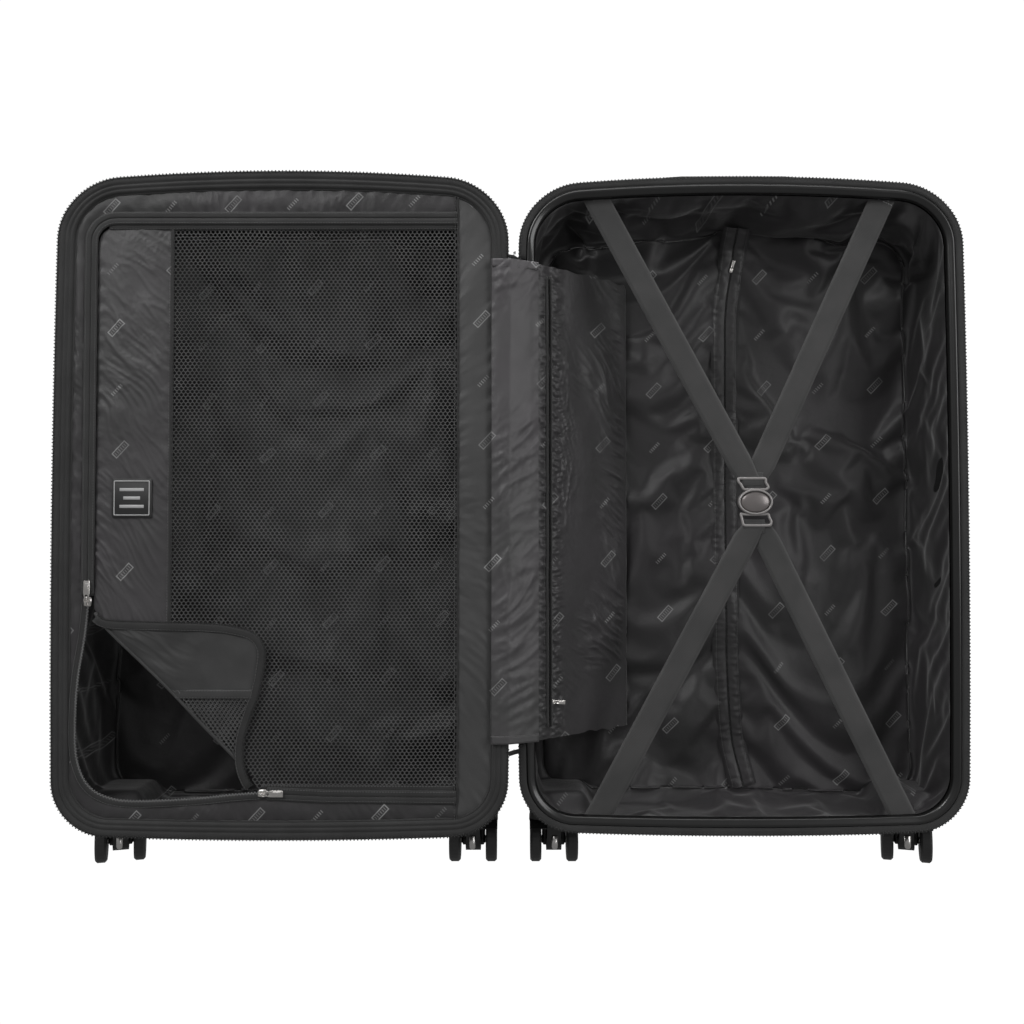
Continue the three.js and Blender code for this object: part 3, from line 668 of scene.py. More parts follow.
def channel_depth(l):
    """How far the moulded channels in a shell's back sink below its flat face."""
    x, z = l[:, 0] - CX, l[:, 2] - CZ
    d = np.zeros(len(l))
    for c in CHANNELS:
        end = 268 - 0.0011 * c * c
        across = np.clip(1 - np.abs(x - c) / 9.0, 0, 1)
        along = np.clip((end - np.abs(z)) / 22.0, 0, 1)
        ease = lambda t: t * t * (3 - 2 * t)
        d = np.maximum(d, ease(across) * ease(along))
    return 1.7 * d


def cut_boxes(ob, boxes):
    """Cut boxes (x0, x1, y0, y1, z0, z1 in mm) out of a closed piece and keep the result as its mesh."""
    parts = []
    for x0, x1, y0, y1, z0, z1 in boxes:
        parts.append(bevel_box(((x0 + x1) / 2, (y0 + y1) / 2, (z0 + z1) / 2), (x1 - x0, y1 - y0, z1 - z0), 1.2))
    v, f = merge(parts)
    tool = make("cutter", v, f, None, None, False, outward=True)
    b = ob.modifiers.new("cut", "BOOLEAN")
    b.operation, b.solver, b.object = "DIFFERENCE", "EXACT", tool
    dg = bpy.context.evaluated_depsgraph_get()
    me = bpy.data.meshes.new_from_object(ob.evaluated_get(dg))
    ob.modifiers.clear()
    ob.data = me
    bpy.data.objects.remove(tool, do_unlink=True)
    me.polygons.foreach_set("use_smooth", np.ones(len(me.polygons), bool))
    me.set_sharp_from_angle(angle=math.radians(38))


def shell(name, node, body, mirror, cuts=()):
    NE = 104
    d = smooth_line([(off, y) for y, off in DRAFT], 3.0)
    outer = [loop3(outline(max(o, 0.0), 14, NE), y) for o, y in d]
    o_end = d[-1][0]
    for k in np.arange(2.4, 224 - o_end, 2.4):
        l = loop3(outline(o_end + k, 14, NE), 150.0)
        l[:, 1] -= channel_depth(l)
        outer.append(l)
    inner = [loop3(outline(o + WALL, 14, NE), min(y, 145.6)) for o, y in d[:-3]]
    inner.append(loop3(outline(46, 14, NE), 146.0))
    v, f = strips(inner[::-1] + outer, True, False)
    n = len(outer[0])
    for base, loop in ((0, inner[-1]), (len(v) - n, outer[-1])):
        c = len(v)
        v = np.vstack([v, loop.mean(0)])
        f += [(base + i, base + (i + 1) % n, c) for i in range(n)]
    ob = make(name, v, f, M["shell"], None if cuts else body, mirror, outward=True)
    if cuts:
        cut_boxes(ob, cuts)
        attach(ob, body)
    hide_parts(node)
    return ob


SIDE["s"] = -1.0
shell("shell_front_visual", "front_shell", FRONT, True)
SIDE["s"] = 1.0
# the other half has openings for the pull handle's cup, the two carry handles and the lock
shell("shell_back_visual", "back_shell", BACK, False, [
    (CX - 140.3, CX + 140.3, 118.3, 142.7, 720, 800),
    (CX - 98.3, CX + 98.3, 46.7, 77.3, 754.9, 800),
    (480.3, 520, 46.7, 77.3, CZ - 98.3, CZ + 98.3),
    (481.7, 520, 21.7, 50.3, 535.7, 612.3),
])

# ------------------------------------------------------------------ rims and closure zip
notch = hinge_notch(2.95)
v, f = ring([(2.8, 4.6), (5.5, 4.3), (8.6, 4.1), (9.0, 2.4), (9.7, 1.5), (11.0, 1.15), (12.6, 1.35), (13.8, 2.1), (15.2, 2.7), (16.6, 3.3), (17.6, 4.8), (18.0, 7.0), (18.0, 10), (2.8, 10)], notch)
ob = make("rim_back_visual", v, f, M["rim"], BACK, outward=True)
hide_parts("back_rim_frame")


def open_ring(section, trim):
    """A band that stops either side of the fabric hinge. section is (inset, y) points, closed across."""
    base = outline(0, 14, 96)
    keep = ~((base[:, 0] < 30) & (base[:, 1] > trim[0]) & (base[:, 1] < trim[1]))
    k = np.where(keep)[0]
    start = next(i for i in range(len(base)) if keep[i] and not keep[i - 1])
    order = [(start + j) % len(base) for j in range(len(k))]
    loops = [loop3(outline(off, 14, 96), y)[order] for off, y in section]
    rows = np.stack(loops, 1)
    v, f = strips(list(rows), True, False)
    n = len(section)
    f.append(tuple(range(n))[::-1])
    f.append(tuple(range(len(v) - n, len(v))))
    line = lambda off, y: loop3(outline(off, 14, 96), y)[order]
    return v, f, line


v, f, line = open_ring([(0.2, 2.0), (2.2, 1.5), (5.2, 1.7), (8.2, 2.0), (8.2, 3.2), (5.0, 3.3), (0.2, 3.4)], (HINGE_Z0 - 2, HINGE_Z1 + 2))
ob = make("zip_tape_back_visual", v, f, M["tape"], BACK, outward=True)
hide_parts("back_zip_tape")
v, f = coil(line(1.2, 2.1), width=3.6, pitch=1.9, lift=0.2)
make("zip_coil_back", v, f, M["coil"], BACK, outward=True)

SIDE["s"] = -1.0
v, f = ring([(0.2, 2.6), (2.6, 1.9), (5.0, 1.7), (7.4, 2.2), (8.3, 3.4), (9.4, 2.0), (11.2, 1.6), (12.6, 2.4), (13.4, 3.3), (14.6, 2.4), (16.4, 2.4), (17.8, 4.0), (18.2, 7), (18.2, 10), (2.8, 10), (2.8, 4.4), (0.2, 4.2)], notch)
ob = make("rim_front_visual", v, f, M["tape"], FRONT, True, outward=True)
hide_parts("front_rim_band")
v, f, line = open_ring([(0.4, 2.0), (3.0, 1.5), (3.0, 1.9), (0.4, 2.4)], (HINGE_Z0 - 2, HINGE_Z1 + 2))
v2, f2 = coil(line(1.0, 2.2), width=3.4, pitch=1.9, lift=0.2)
make("zip_coil_front", v2, f2, M["coil"], FRONT, True, outward=True)
SIDE["s"] = 1.0


# ------------------------------------------------------------------ linings
def tub(nx, nz, rings):
    """A sewn tub: a grid floor joined to rings that climb to the rim. Returns rest points, faces, flat
    pattern coordinates, and how far up the wall each point is (0 on the floor, 1 at the rim)."""
    floor_off = 30.0
    per = [(i, 0) for i in range(nx)] + [(nx, j) for j in range(nz)] + [(i, nz) for i in range(nx, 0, -1)] + [(0, j) for j in range(nz, 0, -1)]
    n = len(per)

    def ray(off):
        """Outline points in the perimeter's order: matched by the direction in the square."""
        o = outline(off, 40, 120)
        cxy = np.array([CX, CZ])
        a, b = HW - off, HH - off
        ang_o = np.arctan2((o[:, 1] - CZ) / b, (o[:, 0] - CX) / a)
        res = []
        order = np.argsort(ang_o)
        xs, zs, an = o[order, 0], o[order, 1], ang_o[order]
        an = np.r_[an - 2 * np.pi, an, an + 2 * np.pi]
        xs, zs = np.tile(xs, 3), np.tile(zs, 3)
        for i, j in per:
            t = math.atan2(2 * j / nz - 1, 2 * i / nx - 1)
            res.append((np.interp(t, an, xs), np.interp(t, an, zs)))
        return np.array(res)

    rim0 = ray(floor_off)
    index = {}
    V, UV, UP = [], [], []
    a, b = HW - floor_off, HH - floor_off
    on_edge = {p: rim0[k] for k, p in enumerate(per)}
    for j in range(nz + 1):
        for i in range(nx + 1):
            s, t = 2 * i / nx - 1, 2 * j / nz - 1
            if (i, j) in on_edge:
                x, z = on_edge[(i, j)]
            else:
                x, z = CX + s * a, CZ + t * b
            index[(i, j)] = len(V)
            V.append((x, FLOOR_Y, z))
            UV.append((x, z))
            UP.append(0.0)
    V, UV, UP = np.array(V, float), np.array(UV, float), np.array(UP, float)
    F = []
    for j in range(nz):
        for i in range(nx):
            F.append((index[(i, j)], index[(i + 1, j)], index[(i + 1, j + 1)], index[(i, j + 1)]))
    prev = [index[p] for p in per]
    stations = smooth_line([(30, FLOOR_Y), (24, 112), (20.5, 104), (18.5, 90), (17.2, 60), (17.2, 26), (18.4, 10.6)], 2.0)
    stations = resample(stations, (np.linalg.norm(np.diff(stations, axis=0), axis=1).sum()) / rings)
    run = np.r_[0, np.cumsum(np.linalg.norm(np.diff(stations, axis=0), axis=1))]
    uv0 = rim0.copy()
    out = uv0 - np.array([CX, CZ])
    out /= np.linalg.norm(out, axis=1)[:, None]
    for k in range(1, len(stations)):
        off, y = stations[k]
        p = ray(off)
        base = len(V)
        V = np.vstack([V, np.stack([p[:, 0], np.full(n, float(shifted(y))), p[:, 1]], 1)])
        UV = np.vstack([UV, uv0 + out * run[k]])
        UP = np.r_[UP, np.full(n, run[k] / run[-1])]
        for i in range(n):
            j = (i + 1) % n
            F.append((prev[i], prev[j], base + j, base + i))
        prev = [base + i for i in range(n)]
    return V, F, UV, UP


def relax_floor(V, UP, F, rounds=60):
    """Evens the floor's grid out inside its rounded edge."""
    n = len(V)
    floor_ids = np.where(UP == 0)[0]
    nb = [[] for _ in range(n)]
    for q in F:
        for a, b in zip(q, q[1:] + q[:1]):
            nb[a].append(b)
            nb[b].append(a)
    fixed = np.zeros(n, bool)
    for q in F:
        if any(UP[i] > 0 for i in q):
            for i in q:
                if UP[i] == 0:
                    fixed[i] = True
    ids = [i for i in floor_ids if not fixed[i]]
    near = [i for i in ids if True]
    m = max(len(nb[i]) for i in near)
    idx = np.array([[*nb[i], *([i] * (m - len(nb[i])))] for i in near])
    near = np.array(near)
    for _ in range(rounds):
        V[near] = V[idx].mean(1) * 0.8 + V[near] * 0.2
    V[floor_ids, 1] = FLOOR_Y


def cloth_crumple(ob, pin, frames=18, shrink=-0.05, bend=0.3, stiff=12.0, gravity=0.35, mass=0.25):
    """Runs Blender's cloth on ob with its pinned points held, and returns the points it ends with."""
    scene = bpy.context.scene
    g = ob.vertex_groups.new(name="pin")
    for w in np.unique(pin):
        if w > 0:
            g.add([int(i) for i in np.where(pin == w)[0]], float(w), "REPLACE")
    mod = ob.modifiers.new("cloth", "CLOTH")
    s = mod.settings
    s.quality = 5
    s.mass = mass
    s.tension_stiffness = s.compression_stiffness = stiff
    s.shear_stiffness = stiff * 0.4
    s.bending_stiffness = bend
    s.tension_damping = s.compression_damping = s.shear_damping = 8
    s.bending_damping = 0.6
    s.air_damping = 2.0
    s.vertex_group_mass = "pin"
    s.shrink_min = shrink
    s.effector_weights.gravity = gravity
    mod.collision_settings.use_collision = False
    mod.collision_settings.use_self_collision = False
    mod.point_cache.frame_start, mod.point_cache.frame_end = 1, frames
    for k in range(1, frames + 1):
        scene.frame_set(k)
    dg = bpy.context.evaluated_depsgraph_get()
    e = ob.evaluated_get(dg)
    co = np.zeros(len(ob.data.vertices) * 3, np.float32)
    e.data.vertices.foreach_get("co", co)
    ob.modifiers.remove(mod)
    ob.vertex_groups.remove(g)
    scene.frame_set(1)
    return co.reshape(-1, 3).astype(float)


def write_mm(ob, mm):
    ob.data.vertices.foreach_set("co", to_world(mm).astype(np.float32).ravel())
    ob.data.update()


def read_mm(co):
    return np.stack([co[:, 0] * 1000 - HX, co[:, 1] * 1000 - HY, co[:, 2] * 1000], 1)


def lining(name, node, body, mirror, seam_x, seed, mat):
    V, F, UV, UP = tub(76, 116, 20)
    relax_floor(V, UP, F)
    rest = V.copy()
    wall = np.clip(UP, 0, 1)
    # a first push so that the cloth knows where to fold
    n1 = pnoise(V[:, 0] / 60, V[:, 2] / 80 + V[:, 1] / 60, seed)
    n2 = pnoise(V[:, 0] / 24, V[:, 2] / 30 + V[:, 1] / 22, seed + 1)
    V[:, 1] -= np.where(UP == 0, 4 + 5 * n1 + 2.2 * n2, 0)
    inward = np.stack([CX - V[:, 0], np.zeros(len(V)), CZ - V[:, 2]], 1)
    inward /= np.linalg.norm(inward, axis=1)[:, None] + 1e-9
    V += inward * (np.where(UP > 0, (3.5 * n1 + 2 * n2 + 2) * np.sin(np.pi * np.clip(wall, 0, 1)), 0))[:, None]
    ob = make(name, V, F, mat, None, mirror, UV, smooth=True)
    pin = np.zeros(len(V))
    pin[UP > 0.985] = 1.0
    if seam_x:
        pin[(np.abs(rest[:, 0] - seam_x) < 3.4) & (UP == 0)] = 1.0
    rng = np.random.default_rng(seed)
    fl = np.where(UP == 0)[0]
    pin[rng.choice(fl, 26, replace=False)] = 0.9
    wl = np.where((UP > 0.1) & (UP < 0.6))[0]
    pin[rng.choice(wl, 40, replace=False)] = 0.8
    co = cloth_crumple(ob, pin, 20, -0.034, 1.3, 10, 0.2)
    mm = read_mm(co)
    if mirror:
        mm[:, 0] *= -1
    # stay inside the shell and in front of the pull handle's tubes
    d = mm - rest
    out = -(d * inward).sum(1)
    lim = np.where(UP > 0, 7.0, 30.0)
    mm += inward * np.clip(out - lim, 0, None)[:, None]
    for pos in ("inner", "outer"):
        lo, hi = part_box("caster_housing_%s_%s" % ("front" if mirror else "back", pos))
        x0, x1 = sorted((abs(lo[0] * 1000 - HX), abs(hi[0] * 1000 - HX)))
        y0, y1 = lo[1] * 1000 - HY, hi[1] * 1000 - HY
        gx_ = np.clip(1 - np.maximum(np.maximum(x0 - mm[:, 0], mm[:, 0] - x1) - 3, 0) / 16, 0, 1)
        gy_ = np.clip(1 - np.maximum(np.maximum(y0 - mm[:, 1], mm[:, 1] - y1) - 3, 0) / 16, 0, 1)
        g_ = gx_ * gx_ * (3 - 2 * gx_) * gy_ * gy_ * (3 - 2 * gy_)
        top_ = hi[2] * 1000 + 3.0
        low = mm[:, 2] < top_
        mm[:, 2] = np.where(low, mm[:, 2] + (top_ - mm[:, 2]) * g_, mm[:, 2])
    d = mm - rest
    L = np.linalg.norm(d, axis=1)
    cap = 24.0
    mm = rest + d * (np.minimum(L, cap) / (L + 1e-9))[:, None]
    mm[:, 1] = np.clip(mm[:, 1], float(shifted(10.5)), 117.6)
    if mirror:
        mm[:, 0] *= -1
    write_mm(ob, mm)
    sub = ob.modifiers.new("soft", "SUBSURF")
    sub.levels = sub.render_levels = 1
    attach(ob, body)
    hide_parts(node)
    return ob


lin_b = lining("lining_back_visual", "back_lining", BACK, False, 252.0, 11, M["lining"])
SIDE["s"] = -1.0
lin_f = lining("lining_front_visual", "front_lining", FRONT, True, None, 23, M["lining_front"])


SIDE["s"] = 1.0
# ------------------------------------------------------------------ sewn pieces: helpers
# points below are (distance from the hinge line, height); the front half mirrors them


def surface_area(ob):
    me = ob.data
    a = np.zeros(len(me.polygons))
    me.polygons.foreach_get("area", a)
    return float(a.sum())


def declare(ob, closed=False):
    """Works out a piece's cut area as what its mesh covers, one side of it; the value is not kept."""
    a = surface_area(ob) / (2 if closed else 1)


def along(poly, n):
    poly = np.asarray(poly, float)
    d = np.r_[0, np.cumsum(np.linalg.norm(np.diff(poly, axis=0), axis=1))]
    t = np.linspace(0, d[-1], n)
    return np.stack([np.interp(t, d, poly[:, k]) for k in range(poly.shape[1])], 1)


def arc(cx, cz, r, a0, a1, n=8):
    t = np.radians(np.linspace(a0, a1, n))
    return np.stack([cx + r * np.cos(t), cz + r * np.sin(t)], 1)


def by_angle(poly, th, c, half):
    p = along(np.vstack([poly, poly[:1]]), 4000)[:-1]
    a = np.arctan2((p[:, 1] - c[1]) / half[1], (p[:, 0] - c[0]) / half[0])
    o = np.argsort(a)
    a, p = a[o], p[o]
    a = np.r_[a - 2 * np.pi, a, a + 2 * np.pi]
    return np.stack([np.interp(th, a, np.tile(p[:, k], 3)) for k in (0, 1)], 1)


def with_y(p, y):
    return np.stack([p[:, 0], np.broadcast_to(np.asarray(y, float), (len(p),)), p[:, 1]], 1)


def grid_faces(nr, nc, keep=None):
    f = []
    for i in range(nr - 1):
        for j in range(nc - 1):
            a = i * nc + j
            if keep is None or keep(i, j):
                f.append((a, a + 1, a + nc + 1, a + nc))
    return f


def used_only(v, f):
    ids = sorted({i for q in f for i in q})
    new = {a: b for b, a in enumerate(ids)}
    return v[ids], [tuple(new[i] for i in q) for q in f]


def stitches(line, step=3.4, length=2.2, r=0.32, up=(0, -1, 0), lift=0.3):
    pts = resample(line, step)
    t, side, nor = frame_along(pts, up)
    parts = []
    for k in range(len(pts) - 1):
        rot = np.stack([side[k], nor[k], t[k]], 1)
        parts.append(bevel_box(pts[k] + nor[k] * lift, (r * 2, r * 1.6, length), r * 0.45, rot))
    return merge(parts)


FOLD = np.array([(272, 102.5), (281.7, 122.6), (295.6, 137.6), (331.4, 173.4), (374.4, 218), (437, 278), (449.4, 296.7)])
fold_z = lambda x: np.interp(x, FOLD[:, 0], FOLD[:, 1]) + np.minimum(x - FOLD[0, 0], 0) * 2.0
fold_x = lambda z: np.interp(z, FOLD[:, 1], FOLD[:, 0])
FLAP_OUT = smooth_line([(449.4, 296.7), (441, 287), (424, 283.6), (380, 282.4), (330, 281.2), (300, 278.4), (276, 271.0), (265.0, 255), (266.0, 232), (271.8, 205), (280.0, 182), (286.6, 159), (287.6, 134), (281.5, 114), (272.0, 102.5)], 4.0)
OPEN_EDGE = smooth_line([(455.2, 303), (458.5, 268), (465.6, 222), (468, 175), (465.5, 136), (453, 109), (431, 96), (400, 92.3), (340, 95.0), (300, 99), (268, 101.5)], 4.0)

# ------------------------------------------------------------------ front half: sewn border round the zipped divider
th = np.linspace(-np.pi, np.pi, 720, endpoint=False)
ctr, half = (262.0, 408.0), (200.0, 318.0)
SIDE["s"] = -1.0
outer_line = by_angle(outline(16.9, 24, 60), th, ctr, half)
inner_poly = np.vstack([
    [(60.2, 724.5)],
    [(60.2, 90.0)],
    [(268, 96.0)],
    OPEN_EDGE[::-1][2:-2] + np.array([0.0, 0.0]),
    [(462.0, 320.0)],
    arc(434, 696.5, 28, 0, 90),
])
inner_line = by_angle(inner_poly, th, ctr, half)
run = np.r_[0, np.cumsum(np.linalg.norm(np.diff(inner_line, axis=0), axis=1))]
rows = []
for t in (0, 0.06, 0.14, 0.26, 0.4, 0.55, 0.7, 0.82, 0.92, 1.0):
    q = outer_line * (1 - t) + inner_line * t
    base = -0.9 - 1.9 * math.sin(math.pi * min(1, 0.08 + t * 0.95)) - 0.7 * t
    pucker = 1.25 * pnoise(run / 8.0, 3.1 + t * 1.3, 41) * math.exp(-((t / 0.3) ** 2))
    pucker2 = 1.0 * pnoise(run / 7.0, 9.3 + t * 1.1, 43) * math.exp(-(((1 - t) / 0.28) ** 2))
    wave = 1.4 * pnoise(q[:, 0] / 34, q[:, 1] / 34, 45) * math.sin(math.pi * t)
    diag = -1.5 * creases(q[:, 0], q[:, 1], 47, 55, 60, 9) * math.sin(math.pi * (0.1 + 0.8 * t))
    rows.append(with_y(q, np.minimum(base + pucker + pucker2 + wave + diag, -0.45)))
v, f = strips(rows, True, False)
border = make("divider_border_visual", v, f, M["border"], FRONT, True, v[:, [0, 2]])
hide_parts("divider_border")
sb = border.modifiers.new("soft", "SUBSURF")
sb.levels = sb.render_levels = 1

# the seam between the zipped border and the plain strip beside the hinge, and the narrow hem round the rim
seam = with_y(np.array([(60.2, 744.0 - 3.0), (60.2, 71.0)]), -3.6)
seam = resample(seam, 4)
seam[:, 0] += 0.5 * pnoise(seam[:, 2] / 40, 1.0, 7)
parts = [tube(seam, 0.75, 6), tube(seam + (3.0, 0.35, 0), 0.4, 5)]
v, f = merge(parts)
make("divider_seam_ridge", v, f, M["hem"], FRONT, True, outward=True)
v, f = stitches(seam + (3.0, -0.1, 0), 3.2, 2.0, 0.26)
make("divider_seam_stitches", v, f, M["thread"], FRONT, True, outward=True)
trim = by_angle(outline(18.6, 24, 60), th, ctr, half)
trim = with_y(np.vstack([trim, trim[:1]]), -2.3)
t_, s_, n_ = frame_along(trim[:-1], (0, -1, 0))
loops = [trim[:-1] + s_ * a + n_ * b for a, b in ((-1.5, 0.0), (-1.0, 0.75), (0, 1.0), (1.0, 0.75), (1.5, 0.0), (1.2, -0.5), (-1.2, -0.5))]
v, f = strips(loops, True, True)
make("divider_piping", v, f, M["tape"], FRONT, True, outward=True)

# ------------------------------------------------------------------ front half: closed runs of the divider's zip
def zip_run(name, line2, y, body, mirror, half_w=6.6, mat="tape", gap=0.5):
    line = with_y(resample(np.asarray(line2, float), 4.0), y)
    t, side, nor = frame_along(line, (0, -1, 0))
    parts = []
    for sgn in (-1, 1):
        parts.append(ribbon(line + side * sgn * (half_w / 2 + gap / 2), half_w, 0.8, crown=0.55, across=4))
    v, f = merge(parts)
    ob = make(name, v, f, M[mat], body, mirror, outward=True)
    v, f = stitches(line + side * (half_w * 0.78) + nor * 0.55, 3.0, 1.9, 0.24)
    v2, f2 = stitches(line - side * (half_w * 0.78) + nor * 0.55, 3.0, 1.9, 0.24)
    v, f = merge([(v, f), (v2, f2)])
    make(name + "_stitches", v, f, M["thread"], body, mirror, outward=True)
    return ob


side_path = np.vstack([[(61, 718.2)], arc(429.8, 692.2, 26, 90, 0), [(455.8, 311)]])
zip_run("divider_zip_side", side_path, -3.7, FRONT, True)
zip_run("divider_zip_bottom", np.array([(262, 101.0), (200, 98.2), (61, 97.0)]), -3.7, FRONT, True)

# the opened run: coil and tape left on the border's side
edge = with_y(OPEN_EDGE, -4.3)
edge[:, 1] += np.interp(np.arange(len(edge)), [0, len(edge) * 0.3, len(edge) * 0.7, len(edge) - 1], [0, 0.6, 0.6, 0])
t_, s_, n_ = frame_along(edge, (0, -1, 0))
outside = s_ if (s_[len(s_) // 2, 0] > 0) else -s_
v, f = ribbon(edge + outside * 2.8, 6.4, 0.9, crown=0.7)
make("opening_tape", v, f, M["hem"], FRONT, True, outward=True)
v, f = coil(edge - outside * 0.6, width=3.2, pitch=1.7, lift=0.15)
make("opening_coil", v, f, M["coil_light"], FRONT, True, outward=True)
v, f = stitches(edge + outside * 5.4 + n_ * 0.9, 3.2, 2.0, 0.24)
make("opening_stitches", v, f, M["thread"], FRONT, True, outward=True)

# ------------------------------------------------------------------ front half: divider panel
X0, X1, XS, ZT, ZB = 61.3, 449.4, 368.7, 709.5, 102.0
nx_, nz_ = 44, 190
gx = np.linspace(XS, X1, nx_)
V2 = []
for j in range(nz_):
    for i, x in enumerate(gx):
        zb = fold_z(x)
        rr = 20.0
        zt = ZT if x < X1 - rr else ZT - rr + math.sqrt(max(rr * rr - (x - X1 + rr) ** 2, 0))
        t = j / (nz_ - 1)
        V2.append((x, zb + (zt - zb) * t))
V2 = np.array(V2)
e_in = np.minimum((V2[:, 0] - XS) / 18, (X1 - V2[:, 0]) / 18).clip(0, 1)
y = -0.4 - 1.0 * e_in
y += -1.4 * creases(V2[:, 0], V2[:, 1], 66, 55, 110, 12) * (0.35 + 0.65 * e_in)
y += -0.9 * creases(V2[:, 0] + 300, V2[:, 1], 68, 48, 60, 8)
y += 1.3 * pnoise(V2[:, 0] / 40, V2[:, 1] / 60, 62) * e_in
y += 1.0 * pnoise(V2[:, 1] / 8.5, V2[:, 0] * 0 + 1.7, 63) * np.exp(-(((V2[:, 0] - X1) / 8) ** 2))
y += 0.8 * pnoise(V2[:, 1] / 9.5, V2[:, 0] * 0 + 4.7, 64) * np.exp(-(((V2[:, 0] - XS) / 6) ** 2))
strip_v = with_y(V2, np.minimum(y, 0.4))
strip_f = grid_faces(nz_, nx_)
strip = make("divider_strip_visual", strip_v, strip_f, M["strip"], FRONT, True, V2)
sb = strip.modifiers.new("soft", "SUBSURF")
sb.levels = sb.render_levels = 1


def net(region, y_at, pitch=4.75, row=3.4, s=1.5, w=0.72, box=(0, 500, 0, 800)):
    """Warp-knitted net: flat strands round six-sided holes. region and y_at take arrays of points."""
    x0, x1, z0, z1 = box
    t = row - s / 2
    segs = []
    for k in range(int(z0 / row) - 1, int(z1 / row) + 2):
        xs = np.arange(int(x0 / pitch) - 1, int(x1 / pitch) + 2) * pitch + (pitch / 2 if k % 2 else 0)
        z = k * row
        for x in xs:
            segs.append(((x + pitch / 2, z - s / 2), (x + pitch / 2, z + s / 2)))
            segs.append(((x - pitch / 2, z + s / 2), (x, z + t)))
            segs.append(((x, z + t), (x + pitch / 2, z + s / 2)))
    a = np.array([q[0] for q in segs])
    b = np.array([q[1] for q in segs])
    wob = lambda p: np.stack([0.5 * pnoise(p[:, 0] / 60, p[:, 1] / 45, 77), 0.6 * pnoise(p[:, 0] / 50, p[:, 1] / 60, 78)], 1)
    ok = region(a) & region(b)
    a, b = a[ok], b[ok]
    a, b = a + wob(a), b + wob(b)
    d = b - a
    d /= np.linalg.norm(d, axis=1)[:, None]
    n = np.stack([-d[:, 1], d[:, 0]], 1) * w / 2
    ext = d * w * 0.28
    P = np.stack([a - n - ext, a + n - ext, b + n + ext, b - n + ext], 1).reshape(-1, 2)
    Y = np.repeat(y_at((a + b) / 2), 4)
    m = len(a)
    # two close layers so that crossing strands don't lie in one plane
    Y = Y + np.tile(np.repeat([0.0, 0.06, 0.12], 4), m // 3 + 1)[: len(Y)]
    v = np.stack([P[:, 0], Y, P[:, 1]], 1)
    f = [(4 * i, 4 * i + 1, 4 * i + 2, 4 * i + 3) for i in range(m)]
    return v, f


net_y = lambda p: -0.5 + 0.9 * pnoise(p[:, 0] / 80, p[:, 1] / 90, 71) + 1.1 * np.exp(-(((p[:, 0] - XS) / 40) ** 2)) * 0
v, f = net(lambda p: (p[:, 0] > X0 - 3) & (p[:, 0] < XS + 3) & (p[:, 1] > ZB - 4) & (p[:, 1] < ZT + 4) & (p[:, 1] > fold_z(p[:, 0]) - 1), net_y, box=(X0, XS, ZB, ZT))
net_ob = make("divider_net_visual", v, f, M["net"], FRONT, True, v[:, [0, 2]], smooth=False)
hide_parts("divider_panel")

# bindings of the net: top, bottom, beside the strip, and the rolled fold
hems = []
hems.append(ribbon(resample(with_y(np.array([(61, 709.8), (437, 709.8)]), -1.9), 6), 7.0, 0.9, crown=0.5))
hems.append(ribbon(resample(with_y(np.array([(61, 105.0), (268, 106.5)]), -1.9), 6), 7.5, 0.9, crown=0.5))
hems.append(ribbon(resample(with_y(np.array([(XS, 709), (XS, fold_z(XS) + 4)]), -1.6), 6), 3.4, 0.8, crown=0.5))
v, f = merge(hems)
make("divider_bindings", v, f, M["hem"], FRONT, True, outward=True)
v, f = merge([
    stitches(with_y(np.array([(61, 706.8), (437, 706.8)]), -2.6), 3.2, 2.0, 0.24),
    stitches(with_y(np.array([(61, 108.0), (270, 109.0)]), -2.6), 3.2, 2.0, 0.24),
    stitches(with_y(np.array([(XS + 2.6, 706), (XS + 2.6, fold_z(XS) + 8)]), -2.0), 3.2, 2.0, 0.24),
])
make("divider_binding_stitches", v, f, M["thread"], FRONT, True, outward=True)

# ------------------------------------------------------------------ front half: the folded corner
NS, NT = 70, 44
F1 = along(smooth_line(FOLD[::-1], 5.0), NS)
O1 = along(FLAP_OUT, NS)
flap_v = np.zeros((NS, NT, 3))
for j in range(NT):
    t = j / (NT - 1)
    q = F1 + (O1 - F1) * t
    flap_v[:, j, 0], flap_v[:, j, 2] = q[:, 0], q[:, 1]
    dist = np.linalg.norm(O1 - F1, axis=1) * t
    roll = 1 - np.exp(-dist / 3.0)
    lift_ = -0.6 - 4.6 * roll - 3.0 * np.clip(dist / 120, 0, 1) ** 1.5
    wr = 1.5 * pnoise(q[:, 0] / 26, q[:, 1] / 30, 81) * roll - 1.7 * creases(q[:, 0], q[:, 1], 83, 20, 80, 12) * roll
    flap_v[:, j, 1] = np.minimum(lift_ + wr, -1.0)
flat_flap = flap_v.reshape(-1, 3)
NET_Z = 205.0
keep = lambda i, j: flap_v[i, j, 2] > NET_Z - 2
v, f = used_only(flat_flap, grid_faces(NS, NT, keep))
flap = make("divider_flap_visual", v, f, M["under"], FRONT, True, v[:, [0, 2]])
sb = flap.modifiers.new("soft", "SUBSURF")
sb.levels = sb.render_levels = 1


def flap_y(p):
    """Depth of the folded corner at points (nearest grid point)."""
    d = ((p[:, None, 0] - flat_flap[None, ::3, 0]) ** 2 + (p[:, None, 1] - flat_flap[None, ::3, 2]) ** 2)
    return flat_flap[::3, 1][d.argmin(1)]


out_x = lambda z: np.interp(z, FLAP_OUT[::-1][:, 1][: len(FLAP_OUT) // 2], FLAP_OUT[::-1][:, 0][: len(FLAP_OUT) // 2])
v, f = net(lambda p: (p[:, 0] < fold_x(p[:, 1])) & (p[:, 0] > out_x(p[:, 1]) + 2) & (p[:, 1] < NET_Z + 6) & (p[:, 1] > 110), flap_y, box=(260, 380, 108, 215))
flap_net = make("divider_flap_net", v, f, M["net"], FRONT, True, v[:, [0, 2]], smooth=False)

